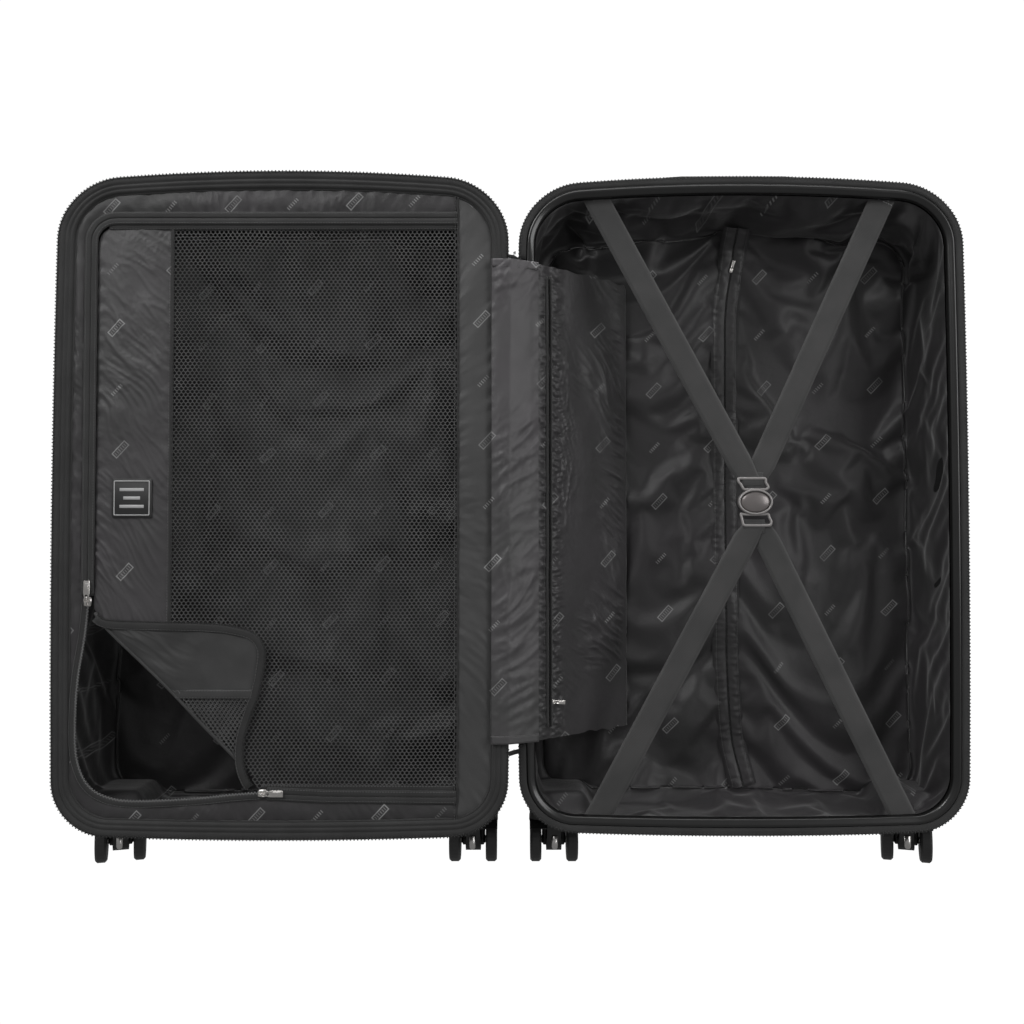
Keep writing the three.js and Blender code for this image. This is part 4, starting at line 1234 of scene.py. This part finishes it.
inset = FLAP_OUT.copy()
t_, s_, n_ = frame_along(with_y(inset, 0), (0, -1, 0))
inside = s_ if (s_[len(s_) // 3, 2] < 0) else -s_
line = with_y(inset, flap_y(inset) - 0.5)
line[:, 1] = np.convolve(np.r_[[line[0, 1]] * 4, line[:, 1], [line[-1, 1]] * 4], np.ones(9) / 9, "valid")
v, f = ribbon(line[2:-2] + inside[2:-2] * 4.2, 8.2, 0.9, crown=0.5)
make("flap_hem", v, f, M["hem"], FRONT, True, outward=True)
v, f = coil(line[2:-2] - inside[2:-2] * 0.6, width=2.6, pitch=1.7, lift=0.1)
make("flap_coil", v, f, M["coil"], FRONT, True, outward=True)
v, f = stitches(line[2:-2] + inside[2:-2] * 7.4 + (0, -0.7, 0), 3.2, 2.0, 0.24)
make("flap_hem_stitches", v, f, M["thread"], FRONT, True, outward=True)
bz = 206.5
bx0, bx1 = float(out_x(bz)) + 5, float(fold_x(bz)) - 3
band = resample(with_y(np.array([(bx1, bz), (bx0, bz)]), 0), 4)
band[:, 1] = flap_y(band[:, [0, 2]]) - 0.7
band[:, 1] = np.convolve(np.r_[[band[0, 1]] * 3, band[:, 1], [band[-1, 1]] * 3], np.ones(7) / 7, "valid")
v, f = ribbon(band, 9.5, 0.8, crown=0.3)
make("flap_net_binding", v, f, M["under"], FRONT, True, outward=True)
v, f = merge([stitches(band + (0, -0.5, 3.6), 3.2, 2.0, 0.24), stitches(band + (0, -0.5, -3.6), 3.2, 2.0, 0.24)])
make("flap_binding_stitches", v, f, M["thread"], FRONT, True, outward=True)
roll_line = resample(with_y(smooth_line(FOLD[::-1], 5.0)[:-5], -2.4), 4)
v, f = tube(roll_line[1:-1], 1.9, 10)
make("flap_roll", v, f, M["under"], FRONT, True, outward=True)

# ------------------------------------------------------------------ front half: plain badge on the strip
def slab_loop(loop, y0, y1, b=0.5):
    """A flat plate from an outline, with its front edge (y1) cut back by b."""
    c = loop.mean(0)
    small = c + (loop - c) * (1 - b / np.linalg.norm(loop - c, axis=1))[:, None]
    rows = [with_y(loop, y0), with_y(loop, y1 + b), with_y(small, y1)]
    v, f = strips(rows, True, False)
    n = len(loop)
    f += [tuple(range(n))[::-1], tuple(range(2 * n, 3 * n))]
    return v, f


v, f = slab_loop(rect_loop(388, 431, 394.5, 436.5, 2.0, 4, 2), -1.2, -3.6)
make("badge_plate", v, f, M["rubber"], FRONT, True, outward=True)
o_, i_ = rect_loop(390.2, 428.8, 396.7, 434.3, 1.4, 4, 2), rect_loop(391.3, 427.7, 397.8, 433.2, 1.0, 4, 2)
v1 = strips([with_y(o_, -3.5), with_y(o_, -4.1), with_y(i_, -4.1), with_y(i_, -3.5)], True, True)
bars = [bevel_box((x, -3.75, z), (w_, 0.7, 3.4), 0.2) for x, z, w_ in ((409.5, 424.5, 26), (409.5, 415.5, 18), (409.5, 406.5, 26))]
v, f = merge([v1] + bars)
make("badge_lines", v, f, M["patch_print"], FRONT, True, outward=True)
SIDE["s"] = 1.0


# ------------------------------------------------------------------ zip sliders with plain pulls
def rot_from(direction, up):
    d = np.asarray(direction, float)
    d /= np.linalg.norm(d)
    u = np.asarray(up, float)
    u = u - d * (u @ d)
    u /= np.linalg.norm(u)
    s_ = np.cross(d, u)
    return np.stack([s_, d, u], 1)  # columns: across, along the pull, outward


def slider(name, node, body, at, direction, up, mirror=False, size=1.0, length=24.0, metal="metal"):
    """A moulded slider with a bridge and a long plain pull that has one hole. direction is where the pull points."""
    R = rot_from(direction, up)
    parts = []
    # wedge-shaped body in two plates
    for z0, z1, k in ((-1.7, -0.5, 1.0), (0.5, 1.7, 0.92)):
        lp = np.array([(-3.6, -4.6), (-2.4, -5.6), (2.4, -5.6), (3.6, -4.6), (4.3, 1.5), (3.4, 4.6), (0.9, 5.4), (-0.9, 5.4), (-3.4, 4.6), (-4.3, 1.5)]) * k
        rows = [np.column_stack([lp * s0, np.full(len(lp), z)]) for s0, z in ((0.9, z0), (1, z0 + 0.3), (1, z1 - 0.3), (0.9, z1))]
        v, f = strips(rows, True, False)
        n = len(lp)
        f += [tuple(range(n))[::-1], tuple(range(3 * n, 4 * n))]
        parts.append((v, f))
    parts.append(bevel_box((0, 2.6, 0), (1.6, 3.0, 1.6), 0.3))
    bridge = np.array([(0, -3.6, 1.6), (0, -2.8, 3.4), (0, -0.4, 4.0), (0, 2.2, 3.5), (0, 3.2, 1.6)])
    parts.append(tube(smooth_line(bridge, 0.8), 0.8, 8, (1, 0, 0)))
    # ring, then the tab
    a = np.linspace(0, 2 * np.pi, 18, endpoint=False)
    ringp = np.column_stack([2.7 * np.cos(a), 1.4 + 3.1 * np.sin(a), np.full(18, 3.0)])
    rr = []
    for k in range(18):
        d = ringp[(k + 1) % 18] - ringp[k - 1]
        d /= np.linalg.norm(d)
        nrm = np.cross(d, (0, 0, 1))
        rr.append([ringp[k] + nrm * 0.75 * math.cos(q) + np.array((0, 0, 0.6 * math.sin(q))) for q in np.linspace(0, 2 * np.pi, 8, endpoint=False)])
    v, f = strips([np.array(r) for r in rr], True, True)
    parts.append((v, f))
    L, W = length - 4.0, 3.7
    n = 40
    outer_, hole = [], []
    for k in range(n):
        q = 2 * math.pi * k / n
        cx_, cy_ = math.cos(q), math.sin(q)
        px_ = max(-1, min(1, cx_ * 1.35)) * W
        py_ = max(-1, min(1, cy_ * 1.35)) * L / 2
        w_ = 0.72 + 0.28 * min(1, (py_ + L / 2) / 6)
        outer_.append((px_ * w_, py_ + L / 2 + 3.4))
        hole.append((cx_ * 1.7, cy_ * 1.4 + 6.2))
    outer_, hole = np.array(outer_), np.array(hole)
    mid = outer_.mean(0)
    sm = mid + (outer_ - mid) * np.array([0.88, 0.965])
    rows = [np.column_stack([hole, np.full(n, 2.3)]), np.column_stack([sm, np.full(n, 2.3)]), np.column_stack([outer_, np.full(n, 2.7)]), np.column_stack([outer_, np.full(n, 3.4)]), np.column_stack([sm, np.full(n, 3.8)]), np.column_stack([hole, np.full(n, 3.8)])]
    parts.append(strips(rows, True, True))
    # a shallow raised field on the tab
    parts.append(bevel_box((0, L * 0.62 + 3.4, 3.8), (4.2, L * 0.5, 0.5), 0.2))
    v, f = merge(parts)
    v = (v * size) @ R.T + np.asarray(at, float)
    ob = make(name, v, f, M[metal], body, mirror, outward=True)
    if node:
        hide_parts(node)
    bev = ob.modifiers.new("edge", "BEVEL")
    bev.width, bev.segments, bev.limit_method, bev.angle_limit = 0.0002, 2, "ANGLE", math.radians(35)
    return ob


slider("divider_slider_side_visual", "divider_slider_side", "divider_slider_side", (455.0, -5.2, 305.0), (0, 0, 1), (0, -1, 0), True, 0.95)
slider("divider_slider_bottom_visual", "divider_slider_bottom", "divider_slider_bottom", (266.5, -5.2, 101.6), (-1, 0, 0), (0, -1, 0), True, 0.95)
st = 0.135
slider("pocket_slider_visual", "pocket_zip_slider", "pocket_slider", (29.5 + 97 * st, PARTING + 3 + 99.9 * st - 2.0, 194.6), (0.9, 0.42, -0.12), (0.2, -1, 0), False, 0.62)
for lab, zz in (("upper", 686.0), ("lower", 141.0)):
    slider("main_slider_%s_visual" % lab, "main_zip_slider_" + lab, "main_slider_" + lab, (1.65, PARTING + 7, zz), (0, 1, 0), (-1, 0, 0), False, 0.42, 26, "metal_dark")

# ------------------------------------------------------------------ fabric hinge
nz_, nx_ = 180, 24
sx = np.linspace(-23.7, 26.9, nx_)
ybase = np.interp(sx, [-23.7, -21, -4, 26.9], [-7.6, -8.4, -8.2, 7.6])
V3 = []
for j in range(nz_):
    z = 154.2 + (672.6 - 154.2) * j / (nz_ - 1)
    for i in range(nx_):
        V3.append((sx[i], ybase[i], z))
V3 = np.array(V3)
e_in = (np.minimum(V3[:, 0] + 23.7, 26.9 - V3[:, 0]) / 9).clip(0, 1)
V3[:, 1] += -1.1 * e_in + 1.5 * pnoise(V3[:, 0] / 26, V3[:, 2] / 38 - V3[:, 0] / 40, 91) * e_in - 3.4 * creases(V3[:, 0] + 40, V3[:, 2], 97, 40, 90, 13) * (0.3 + 0.7 * e_in) - 1.6 * creases(V3[:, 0], V3[:, 2] + 90, 94, 52, 50, 8) * e_in
V3[:, 1] += 1.0 * pnoise(V3[:, 2] / 6.5, V3[:, 0] * 0 + 2.2, 95) * np.exp(-(((V3[:, 0] + 23.7) / 4) ** 2))
V3[:, 1] += 1.4 * pnoise(V3[:, 2] / 5.0, V3[:, 0] / 9 + 5.2, 96) * np.exp(-(((V3[:, 0] - 26.9) / 6) ** 2))
lowest = np.where(V3[:, 0] < 0, -8.4, 6.0)
V3[:, 1] = np.where(np.abs(V3[:, 0]) > 16, np.minimum(V3[:, 1], np.where(V3[:, 0] < 0, -6.2, 9.2)), V3[:, 1])
hinge_cloth = make("hinge_flap_visual", V3, grid_faces(nz_, nx_), M["flap"], None, False, V3[:, [0, 2]])
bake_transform(hinge_cloth)
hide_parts("hinge_flap_front")
for lab, z0 in (("top", 668.4), ("bottom", 158.4)):
    hem = np.stack([sx, np.interp(sx, sx, ybase) - 1.9, np.full(nx_, z0)], 1)
    v, f = ribbon(resample(hem, 2.2), 8.6, 0.7, up=(0, -1, 0.001))
    h1 = make("hinge_hem_" + lab, v, f, M["flap"], None, False, v[:, [0, 2]], outward=True)
    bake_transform(h1)
    zz = z0 - 4.0 if lab == "top" else z0 + 4.0
    hem[:, 2] = zz
    v, f = stitches(hem + (0, -0.35, 0), 3.0, 1.9, 0.24)
    h2 = make("hinge_hem_stitches_" + lab, v, f, M["thread"], None, False, outward=True)
    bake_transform(h2)

for lab, z0 in (("upper", 675.4), ("lower", 143.6)):
    ln = resample(np.array([(-5.2, -7.4, z0), (0, -2.0, z0 + 0.6), (5.2, 7.6, z0)]), 1.9)
    v, f = merge([coil(ln, up=(0.2, -1, 0), width=4.2, pitch=2.1, lift=0.3), ribbon(ln, 5.0, 0.6)])
    ob = make("closure_zip_end_" + lab, v, f, M["coil"], None, False, outward=True)
    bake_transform(ob)

# ------------------------------------------------------------------ sloping pocket beside the hinge
slope = np.array([(26.9, PARTING + 0.7), (29.5, PARTING + 2.4), (131.2, 103.5)])
P_ = resample(np.column_stack([slope, np.zeros(3)])[:, :2], 1.7)
L_ = np.r_[0, np.cumsum(np.linalg.norm(np.diff(P_, axis=0), axis=1))]
nS, nZ = len(P_), 430
nrm = np.array((-0.717, -0.0, 0.0))
pocket_v = []
for j in range(nZ):
    z = 155.2 + (671.6 - 155.2) * j / (nZ - 1)
    for i in range(nS):
        pocket_v.append((P_[i, 0], P_[i, 1], z))
pocket_v = np.array(pocket_v)
zc_ = (155.2 + 671.6) / 2
rim_k = np.clip((np.abs(pocket_v[:, 2] - zc_) - 225) / 33, 0, 1) ** 2
pocket_v[:, 2] += rim_k * 3.2 * pnoise(pocket_v[:, 0] / 13, pocket_v[:, 2] * 0 + np.sign(pocket_v[:, 2] - zc_), 100) * np.clip((pocket_v[:, 0] - 27) / 12, 0, 1)
SL = np.tile(L_, nZ)
zz = pocket_v[:, 2]
inner_e = np.clip(np.minimum(SL, L_[-1] - SL) / 14, 0, 1)
zip_at = 16.5
gath = np.exp(-(((SL - zip_at + 9) / 6.5) ** 2)) + np.exp(-(((SL - zip_at - 10) / 8.5) ** 2))
lift_ = 2.6 * pnoise(SL / 44, zz / 60 + SL / 80, 101) * inner_e + 4.6 * creases(SL, zz, 103, 140, 75, 15) * inner_e * np.clip((SL - 26) / 30, 0, 1)
lift_ += 3.0 * pnoise(zz / 6.4 + SL / 14, SL / 22, 105) * gath + 1.5 * pnoise(zz / 3.2 - SL / 20, SL / 11, 109) * gath
lift_ += 1.6 * gath * (0.6 + 0.4 * pnoise(zz / 50, SL * 0, 107))
lift_ += 2.4 * creases(SL, zz, 113, 100, 34, 7) * np.exp(-(((SL - 38) / 14) ** 2))
lift_ -= 1.2 * np.exp(-(((SL - zip_at) / 4) ** 2))
pocket_v[:, 0] += 0.697 * lift_ * 0
pocket_v[:, 1] -= np.clip(lift_, -1.6, 8) * np.clip(SL / 3, 0, 1)
end = []
for j in range(nZ):
    z = pocket_v[j * nS, 2]
    end.append((132.6 + 0.5 * float(pnoise(z / 30, 1.0, 108)), 106.0, z))
rows = [pocket_v.reshape(nZ, nS, 3)[:, i] for i in range(nS)] + [np.array(end), np.array(end) + (-4, 3.6, 0)]
v, f = strips(rows, False, False)
pocket = make("hinge_pocket_visual", v, f, M["pocket"], BACK, False, np.stack([np.concatenate([np.full(nZ, l) for l in list(L_) + [L_[-1] + 2, L_[-1] + 5]]), v[:, 2]], 1))
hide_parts("hinge_pocket_panel")


def on_slope(s_mm, z, up=0.0):
    x = np.interp(s_mm, L_, P_[:, 0])
    yy = np.interp(s_mm, L_, P_[:, 1])
    return np.stack([np.full(len(z), x) - 0.6 * up, np.full(len(z), yy) - 0.8 * up, z], 1)


zz = np.arange(168.0, 662.0, 4.0)
zl = on_slope(16.5, zz, 2.6)
zl[:, 0] += 0.7 * pnoise(zz / 70, 2.0, 111)
up_ = (-0.72, -0.7, 0)
parts = [ribbon(zl + np.array((0.72, 0.7, 0)) * sg * 3.0, 5.6, 0.8, up=up_, crown=0.4) for sg in (-1, 1)]
v, f = merge(parts)
make("pocket_zip_tape", v, f, M["tape"], BACK, False, outward=True)
v, f = coil(zl, up=up_, width=3.0, pitch=2.0, lift=0.1)
make("pocket_zip_coil", v, f, M["coil"], BACK, False, outward=True)
v, f = merge([stitches(zl + np.array((0.72, 0.7, 0)) * sg * 4.7 + np.array(up_) * 0.7, 3.0, 1.9, 0.24, up=up_) for sg in (-1, 1)])
make("pocket_zip_stitches", v, f, M["thread"], BACK, False, outward=True)

# ------------------------------------------------------------------ access zip sewn down the middle of the deep lining
dg = bpy.context.evaluated_depsgraph_get()
ev = lin_b.evaluated_get(dg)
co = np.zeros(len(ev.data.vertices) * 3, np.float32)
ev.data.vertices.foreach_get("co", co)
LB = read_mm(co.reshape(-1, 3).astype(float))


def lining_y(p, r=7.0):
    """Nearest the viewer that the deep lining comes within r of each point."""
    out = np.full(len(p), 112.0)
    for k in range(len(p)):
        d2 = (LB[:, 0] - p[k, 0]) ** 2 + (LB[:, 2] - p[k, 1]) ** 2
        m = (d2 < r * r) & (LB[:, 1] > 60)
        if m.any():
            out[k] = LB[m, 1].min()
    return out


AZ = smooth_line([(262, 735), (258, 690), (251.5, 640), (250, 560), (250, 300), (251, 210), (256, 140), (268, 84)], 4.0)
sm = lambda a, n: np.convolve(np.r_[[a[0]] * n, a, [a[-1]] * n], np.ones(2 * n + 1) / (2 * n + 1), "valid")
yb = sm(lining_y(AZ), 4) - 1.6
yb = np.minimum(yb, 113.5)
s_run = np.r_[0, np.cumsum(np.linalg.norm(np.diff(AZ, axis=0), axis=1))]
t_, s_, n_ = frame_along(with_y(AZ, 0), (0, -1, 0))
fine = resample(with_y(AZ, 0), 2.0)
fr = np.r_[0, np.cumsum(np.linalg.norm(np.diff(fine, axis=0), axis=1))]
fine[:, 1] = np.interp(fr, s_run, yb)
t_, s_, n_ = frame_along(fine, (0, -1, 0))
parts = []
for sg in (-1, 1):
    rows = []
    for a, amp in ((1.1, 0.15), (3.4, 0.5), (6.2, 1.1), (9.2, 1.3), (12.0, 0.9), (14.6, 0.2), (16.0, 0.0)):
        ruff = amp * pnoise(fr / 3.6, a / 7 + sg * 4, 121)
        back_ = 0.0 if a < 12 else (a - 12) * 0.7
        rows.append(fine + s_ * (sg * a) + n_ * (ruff + 0.9 * math.sin(math.pi * min(1, a / 14)) - back_)[:, None])
    parts.append(strips(rows, False, False))
v, f = merge(parts)
access = make("access_zip_strips", v, f, M["lining_strip"], BACK, False, v[:, [0, 2]])
v, f = coil(fine + n_ * 0.1, width=2.6, pitch=2.0, lift=0.0)
make("access_zip_coil", v, f, M["coil"], BACK, False, outward=True)
v, f = merge([stitches(fine + s_ * sg * 12.2 + n_ * 1.3, 3.2, 2.0, 0.24) for sg in (-1, 1)])
make("access_zip_stitches", v, f, M["thread"], BACK, False, outward=True)
top_at = fine[np.argmin(np.abs(fine[:, 2] - 688))]
slider("access_zip_slider", None, BACK, (top_at[0], top_at[1] - 2.2, 690), (0.25, 0, 1), (0, -1, 0), False, 0.5)

# ------------------------------------------------------------------ packing straps
def strap(a, b, y0, y1, w=27.2, sag=0.0):
    n = max(10, int(math.hypot(b[0] - a[0], b[1] - a[1]) / 5))
    line = along(np.array([(a[0], y0, a[1]), (b[0], y1, b[1])], float), n)
    t = np.linspace(0, 1, n)
    line[:, 1] += sag * np.sin(np.pi * t)
    return line


def strap_mesh(lines, w, bar_last):
    """Flat bands; towards the buckle each band turns square to the buckle's bar."""
    parts, uvs = [], []
    for k, ln in enumerate(lines):
        run_ = np.r_[0, np.cumsum(np.linalg.norm(np.diff(ln, axis=0), axis=1))]
        t, side, nor = frame_along(ln, (0, -1, 0))
        to_bar = (run_[-1] - run_) if bar_last else run_
        g = np.clip(1 - to_bar / 26.0, 0, 1)
        g = (g * g * (3 - 2 * g))[:, None]
        flat_ = np.array([1.0 if side[0, 0] > 0 else -1.0, 0, 0])
        sd = side * (1 - g) + flat_ * g
        sd /= np.linalg.norm(sd, axis=1)[:, None]
        half_w = (w / 2) * (1 - 0.1 * g[:, 0])
        sect = [(-1 + 2 * i / 6, 0.65) for i in range(7)] + [(1 - 2 * i / 6, -0.65) for i in range(7)]
        rows = [np.array([ln[j] + sd[j] * a * half_w[j] + nor[j] * (b + 0.25 * (1 - a * a)) for a, b in sect]) for j in range(len(ln))]
        v, f = strips(rows, True, False)
        m = len(sect)
        f.append(tuple(range(m))[::-1])
        f.append(tuple(range(len(v) - m, len(v))))
        parts.append((v, f))
        across = np.array([a * w / 2 for a, b in sect])
        uvs.append(np.stack([np.repeat(run_ + 700 * k, m), np.tile(across, len(ln))], 1))
    v, f = merge(parts)
    return v, f, np.concatenate(uvs)


up_lines = [strap((84.5, 760.0), (258.2, 435.0), 21.4, 19.2), strap((413.2, 760.0), (264.8, 435.0), 22.4, 20.9)]
v, f, uv = strap_mesh(up_lines, 27.2, True)
s1 = make("strap_upper_visual", v, f, M["webbing"], BACK, False, uv, outward=True)
lo_lines = [strap((263.2, 389.6), (87.2, 62.5), 19.2, 21.4), strap((268.2, 389.6), (426.8, 62.5), 20.9, 22.4)]
v, f, uv = strap_mesh(lo_lines, 27.2, False)
s2 = make("strap_lower_visual", v, f, M["webbing"], BACK, False, uv, outward=True)
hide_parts("strap_upper")
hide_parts("strap_lower")
# ends folded round the buckle's bars
webs = []
for (cx_, zc, sg) in ((261.5, 436.0, 1), (262.5, 386.5, -1)):
    ln = along(np.array([(cx_, 20.2, zc + sg * 8.5), (cx_, 19.0, zc + sg * 3), (cx_, 18.4, zc - sg * 1.5), (cx_, 19.2, zc - sg * 6.5)], float), 12)
    webs.append(ribbon(ln, 23.5, 1.3, crown=0.1, across=6))
v, f = merge(webs)
make("strap_bar_loops", v, f, M["webbing_plain"], BACK, False, outward=True)
sl = []
for ln in up_lines[1:]:
    e = 0 if ln[0, 2] > 700 else len(ln) - 1
    d = ln[min(3, len(ln) - 1)] - ln[0] if e == 0 else ln[-4] - ln[-1]
    d = d / np.linalg.norm(d)
    sd = np.cross(d, (0, -1, 0))
    p0 = ln[e] + d * 16
    sl.append(stitches(np.array([p0 - sd * 11.5, p0 + sd * 11.5]), 3.0, 2.0, 0.3, lift=1.1))
v, f = merge(sl)
make("strap_end_stitches", v, f, M["thread_light"], BACK, False, outward=True)

# ------------------------------------------------------------------ buckle
def loop_tube(points, r, y, seg=8, flat=0.8, smooth_=True):
    p = np.asarray(points, float)
    q = np.vstack([p, p[:1]])
    q = resample(with_y(q, y), 1.3)[:-1]
    for _ in range(2):
        q = 0.25 * np.roll(q, 1, 0) + 0.5 * q + 0.25 * np.roll(q, -1, 0)
    n = len(q)
    rows = []
    for k in range(n):
        d = q[(k + 1) % n] - q[k - 1]
        d /= np.linalg.norm(d)
        sd = np.cross(d, (0, -1, 0))
        a = np.linspace(0, 2 * np.pi, seg, endpoint=False)
        rows.append(q[k] + np.outer(np.cos(a) * r, sd) + np.outer(np.sin(a) * r * flat, (0, -1, 0)))
    return strips(rows, True, True)


bx, bz = 264.0, 412.2
ell = lambda a, b, n=56: np.stack([bx + a * np.cos(np.linspace(0, 2 * np.pi, n, endpoint=False)), bz + b * np.sin(np.linspace(0, 2 * np.pi, n, endpoint=False))], 1)
upper = [(245.2, 438.0), (276.0, 438.0), (275.4, 433.6), (279.0, 428.4), (277.0, 426.0), (268, 425.4), (258, 425.4), (251.0, 426.0), (248.4, 432.0), (245.6, 434.0)]
lower = [(247.6, 399.6), (252, 398.6), (264, 398.4), (274, 398.8), (278.4, 399.4), (279.4, 394.6), (281.6, 391.4), (281.0, 386.6), (251.0, 386.6), (250.0, 391.0), (249.0, 395.4)]
o, i = ell(19.0, 14.2), ell(16.6, 11.8)
ring_rows = [with_y(o, 22.6), with_y(o, 16.2), with_y(ell(18.4, 13.6), 15.2), with_y(ell(17.2, 12.4), 15.0), with_y(i, 15.8), with_y(i, 22.6)]
body_plate = strips([with_y(ell(18.6, 13.8), 21.0), with_y(ell(18.8, 14.0), 23.0), with_y(ell(18.6, 13.8), 24.4)], True, False)
v0, f0 = body_plate
n = 56
f0 = f0 + [tuple(range(n))[::-1], tuple(range(2 * n, 3 * n))]
v, f = merge([strips(ring_rows, True, True), (v0, f0), loop_tube(upper, 1.55, 18.2), loop_tube([(258, 426), (270, 426), (270, 424.4), (258, 424.4)], 1.2, 18.2)])
bf = make("buckle_frame_visual", v, f, M["buckle"], BACK, False, outward=True)
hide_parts("buckle_frame")
v, f = loop_tube(lower, 1.55, 18.4)
bi = make("buckle_insert_visual", v, f, M["buckle"], BACK, False, outward=True)
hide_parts("buckle_insert")
rows = []
for k, (a, yy) in enumerate(((1.0, 17.9), (1.0, 17.4), (0.975, 16.6), (0.9, 15.9), (0.75, 15.2), (0.5, 14.5), (0.25, 14.15), (0.08, 14.05))):
    rows.append(with_y(ell(15.9 * a, 11.2 * a), yy))
v, f = strips(rows, True, False)
f += [tuple(range(n))[::-1], tuple(range(len(v) - n, len(v)))]
bb = make("buckle_button_visual", v, f, M["button"], "buckle_button", False, outward=True)
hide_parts("buckle_button")

# ------------------------------------------------------------------ bright swivel pins of the casters
for pos in ("back_inner", "back_outer", "front_inner", "front_outer"):
    lo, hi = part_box("caster_fork_" + pos)
    cx_ = (CX + (202.3 if "outer" in pos else -202.3)) * (1 if "back" in pos else -1)
    y0 = lo[1] * 1000 - HY
    turn = math.radians(0 if "inner" in pos else (-17 if "back" in pos else 17))
    yf = (lo[1] + hi[1]) / 2 * 1000 - HY
    c_, s_t = math.cos(turn), math.sin(turn)
    d_in = 88.0 - (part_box("caster_fork_" + pos.replace("outer", "inner"))[0][1] * 1000 - HY) + 0.4
    px_, py_ = cx_ + d_in * s_t, 88.0 - d_in * c_
    rz = np.array([(c_, -s_t, 0), (s_t, c_, 0), (0, 0, 1)])
    rows = []
    for z, r in ((22.2, 1.2), (22.8, 2.6), (24.2, 3.6), (26.0, 3.9), (37.0, 3.9), (37.4, 3.2)):
        a = np.linspace(0, 2 * np.pi, 20, endpoint=False)
        rows.append(np.stack([px_ + r * np.cos(a), py_ + r * np.sin(a) * 0.9, np.full(20, z)], 1))
    v, f = strips(rows, True, False)
    f += [tuple(range(20))[::-1], tuple(range(len(v) - 20, len(v)))]
    make("caster_pin_" + pos, v, f, M["steel"], "caster_" + pos, False, outward=True)
    # moulded cheeks between the wheels, with collars round the axle
    wlo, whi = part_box("caster_axle_" + pos)
    ax = np.array([(wlo[0] + whi[0]) / 2 * 1000 - HX, (wlo[1] + whi[1]) / 2 * 1000 - HY, (wlo[2] + whi[2]) / 2 * 1000])
    parts = [bevel_box((0, 0, 4.5), (19.5, 15.0, 17.0), 1.6), bevel_box((0, 0, 5.2), (27.2, 12.0, 17.5), 1.8)]
    for sg in (-1, 1):
        q = np.linspace(0, 2 * np.pi, 20, endpoint=False)
        rr_ = [np.stack([np.full(20, sg * x_), r_ * np.cos(q), r_ * np.sin(q)], 1) for x_, r_ in ((8.0, 6.6), (11.6, 6.6), (12.4, 6.0), (12.6, 4.6), (14.0, 4.4))]
        v, f = strips(rr_, True, False)
        f += [tuple(range(20))[::-1], tuple(range(len(v) - 20, len(v)))]
        parts.append((v, f))
    v, f = merge(parts)
    v = v @ rz.T + ax
    ob = make("caster_cheeks_" + pos, v, f, M["moulded"], "caster_" + pos, False, outward=True)
    bev = ob.modifiers.new("edge", "BEVEL")
    bev.width, bev.segments, bev.limit_method, bev.angle_limit = 0.0005, 2, "ANGLE", math.radians(30)

# ------------------------------------------------------------------ the area of each cloth, worked out and not kept
declare(border)
declare(strip)
declare(flap)
declare(hinge_cloth)
declare(pocket)
declare(access)
declare(s1, closed=True)
declare(s2, closed=True)

SIDE["s"] = 1.0
